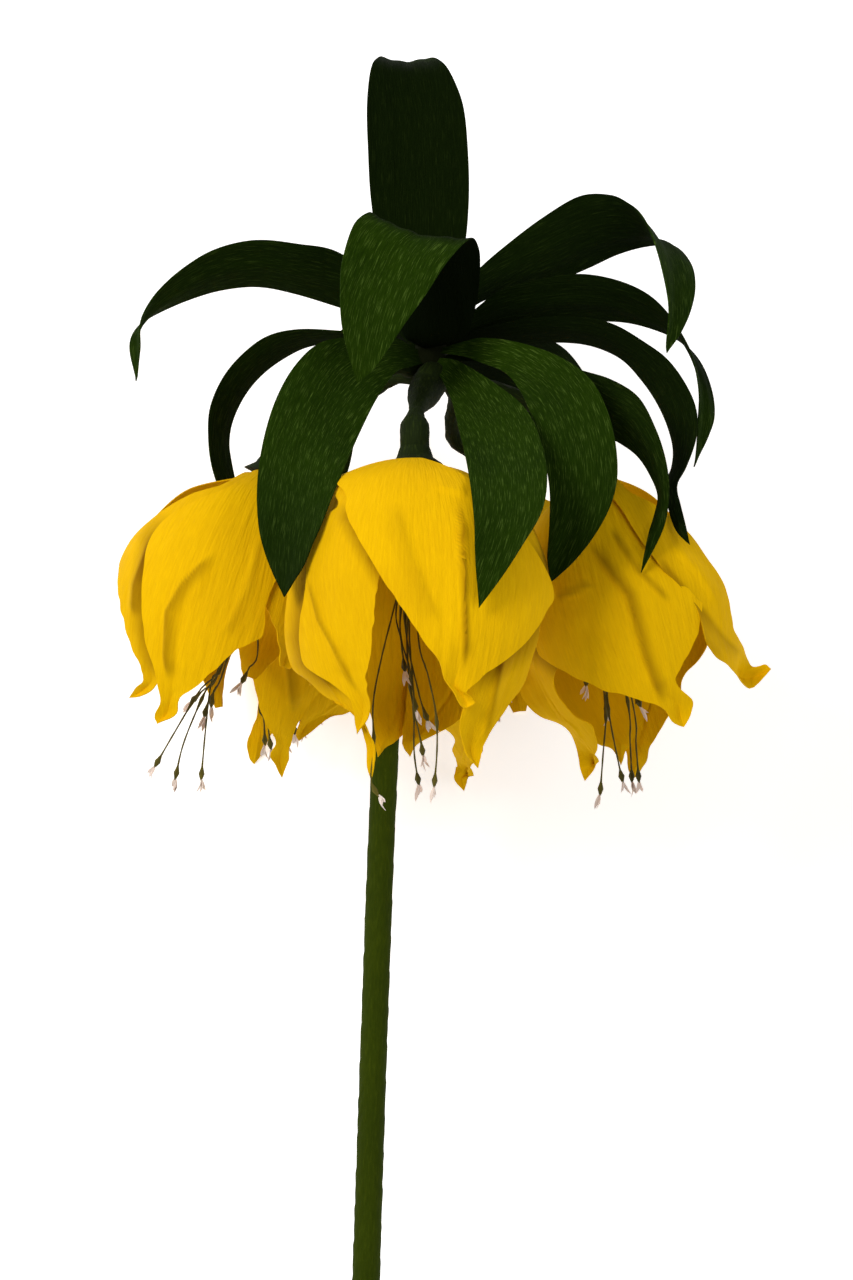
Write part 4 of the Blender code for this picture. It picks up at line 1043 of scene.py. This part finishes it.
for bellIndex, (bellName, bell) in enumerate(bells.items()):
    wires, tufts = [], []
    w, slip = filamentWire, tuftSlip
    top, axis, outward, right = bellFrame(bell)
    plugLine = np.array([top + depth * axis for depth, _ in plugRadii])
    plug = tubePoints(plugLine, np.array([radius for _, radius in plugRadii]), plugSides)
    wires.append(closeUp(paperGrid("plug", *plug), fillEnds=True))
    for index, (drawn, back) in enumerate(filaments[bellName]):
        dice = np.random.default_rng(w["firstSeed"] + 10 * bellIndex + index)
        line = filamentLine(bell, drawn, back, index)
        run = np.concatenate([[0], np.cumsum(np.linalg.norm(np.diff(line, axis=0), axis=1))])
        left = run[-1] - run
        radii = w["radius"] * (1 + 0.15 * np.sin(run * 0.8 + index))
        radii += (w["knot"] - w["radius"]) * hump(left, w["knotAt"], w["knotLong"])  # the knot at the end
        radii += w["joint"] * hump(left, dice.uniform(22, 40), w["jointLong"])  # a joint higher up
        radii[-1] = w["tipRadius"]
        wires.append(closeUp(paperGrid("wire", *tubePoints(line, radii, w["sides"])), fillEnds=True))
        ahead = unit(line[-1] - line[-4])
        flat = unit(np.cross(ahead, np.array([0.1, 1.0, 0.2])))
        other = np.cross(ahead, flat)
        root = line[-1] - slip["inset"] * ahead
        for _ in range(slip["count"]):
            turn = dice.uniform(0, 2 * math.pi)
            fan = dice.uniform(0.15, 0.5)
            toward = unit(ahead + fan * (math.cos(turn) * flat + math.sin(turn) * other))
            facing = unit(np.cross(toward, math.cos(turn + 1) * flat + math.sin(turn + 1) * other))
            long = slip["long"] * dice.uniform(0.6, 1.15)
            sheet = slipPoints(root, toward, facing, long, slip["wide"])
            tufts.append(closeUp(paperGrid("slip", *sheet), slip["thick"]))
    made = joinPieces(wires, f"{bellName}_stamenWires")
    finishPiece(made, crepe["filamentOlive"], f"{bellName}_stamens", slot="stamen_green")
    made = joinPieces(tufts, f"{bellName}_stamenTufts")
    finishPiece(made, crepe["tuftPaper"], f"{bellName}_stamens", slot="stamen_green")
print("stamens hung")

# Floor, light and camera.
studio = dict(
    floor=12, floorDark=(0.93, 0.93, 0.92), floorLight=(0.96, 0.96, 0.95), floorGlow=0.52, world=0.25,
)
floorLook, floorTree, floorShader = nodeTree("paleFloor")
floorNoise = floorTree.nodes.new("ShaderNodeTexNoise")
floorNoise.inputs["Scale"].default_value = 3.0
floorWhere = floorTree.nodes.new("ShaderNodeTexCoord")
link(floorTree, floorWhere.outputs["Object"], floorNoise.inputs["Vector"])
floorRamp = floorTree.nodes.new("ShaderNodeValToRGB")
floorRamp.color_ramp.elements[0].color = (*studio["floorDark"], 1)
floorRamp.color_ramp.elements[1].color = (*studio["floorLight"], 1)
link(floorTree, floorNoise.outputs["Fac"], floorRamp.inputs["Fac"])
link(floorTree, floorRamp.outputs["Color"], floorShader.inputs["Base Color"])
floorShader.inputs["Roughness"].default_value = 0.9
floorShader.inputs["Emission Color"].default_value = (1.0, 1.0, 1.0, 1)
floorShader.inputs["Emission Strength"].default_value = studio["floorGlow"]
dropSelection()
bpy.ops.mesh.primitive_plane_add(size=studio["floor"])
floor = bpy.context.object
floor.name = "floor"
floor.data.materials.append(floorLook)

world = bpy.data.worlds.new("studio")
bpy.context.scene.world = world
world.use_nodes = True
world.node_tree.nodes["Background"].inputs["Color"].default_value = (1.0, 1.0, 1.0, 1)
world.node_tree.nodes["Background"].inputs["Strength"].default_value = studio["world"]

lamps = dict(
    key=dict(at=(-1100, -1500, 800), size=850, power=33, colour=(1.0, 0.98, 0.95)),
    fill=dict(at=(1100, -1500, -200), size=1400, power=12.5, colour=(1.0, 1.0, 1.0)),
)
for name, lamp in lamps.items():
    data = bpy.data.lights.new(name, "AREA")
    data.shape = "SQUARE"
    data.size = lamp["size"] * mm
    data.energy = lamp["power"]
    data.color = lamp["colour"]
    made = bpy.data.objects.new(name, data)
    bpy.context.scene.collection.objects.link(made)
    at = laidDown @ (Vector(lamp["at"]) * mm)
    aim = laidDown @ Vector((0, 0, -0.05))
    turned = (aim - at).to_track_quat("-Z", "Y").to_matrix().to_4x4()
    made.matrix_world = Matrix.Translation(at) @ turned

cameraData = bpy.data.cameras.new("camera")
cameraData.lens = 156.25
cameraData.sensor_width = 36.0
cameraData.sensor_fit = "AUTO"
cameraData.clip_end = 50.0
camera = bpy.data.objects.new("camera", cameraData)
bpy.context.scene.collection.objects.link(camera)
cameraPlace = Vector(((centre[0] - crown[0]) * gridStep, -eye, -(centre[1] - crown[1]) * gridStep)) * mm
faceFlower = Matrix.Rotation(math.radians(90), 4, "X")
camera.matrix_world = laidDown @ Matrix.Translation(cameraPlace) @ faceFlower
bpy.context.scene.camera = camera
bpy.context.scene.view_settings.view_transform = "Standard"  # keeps the yellow as strong as the paper's
print("floor, lamps and camera set")
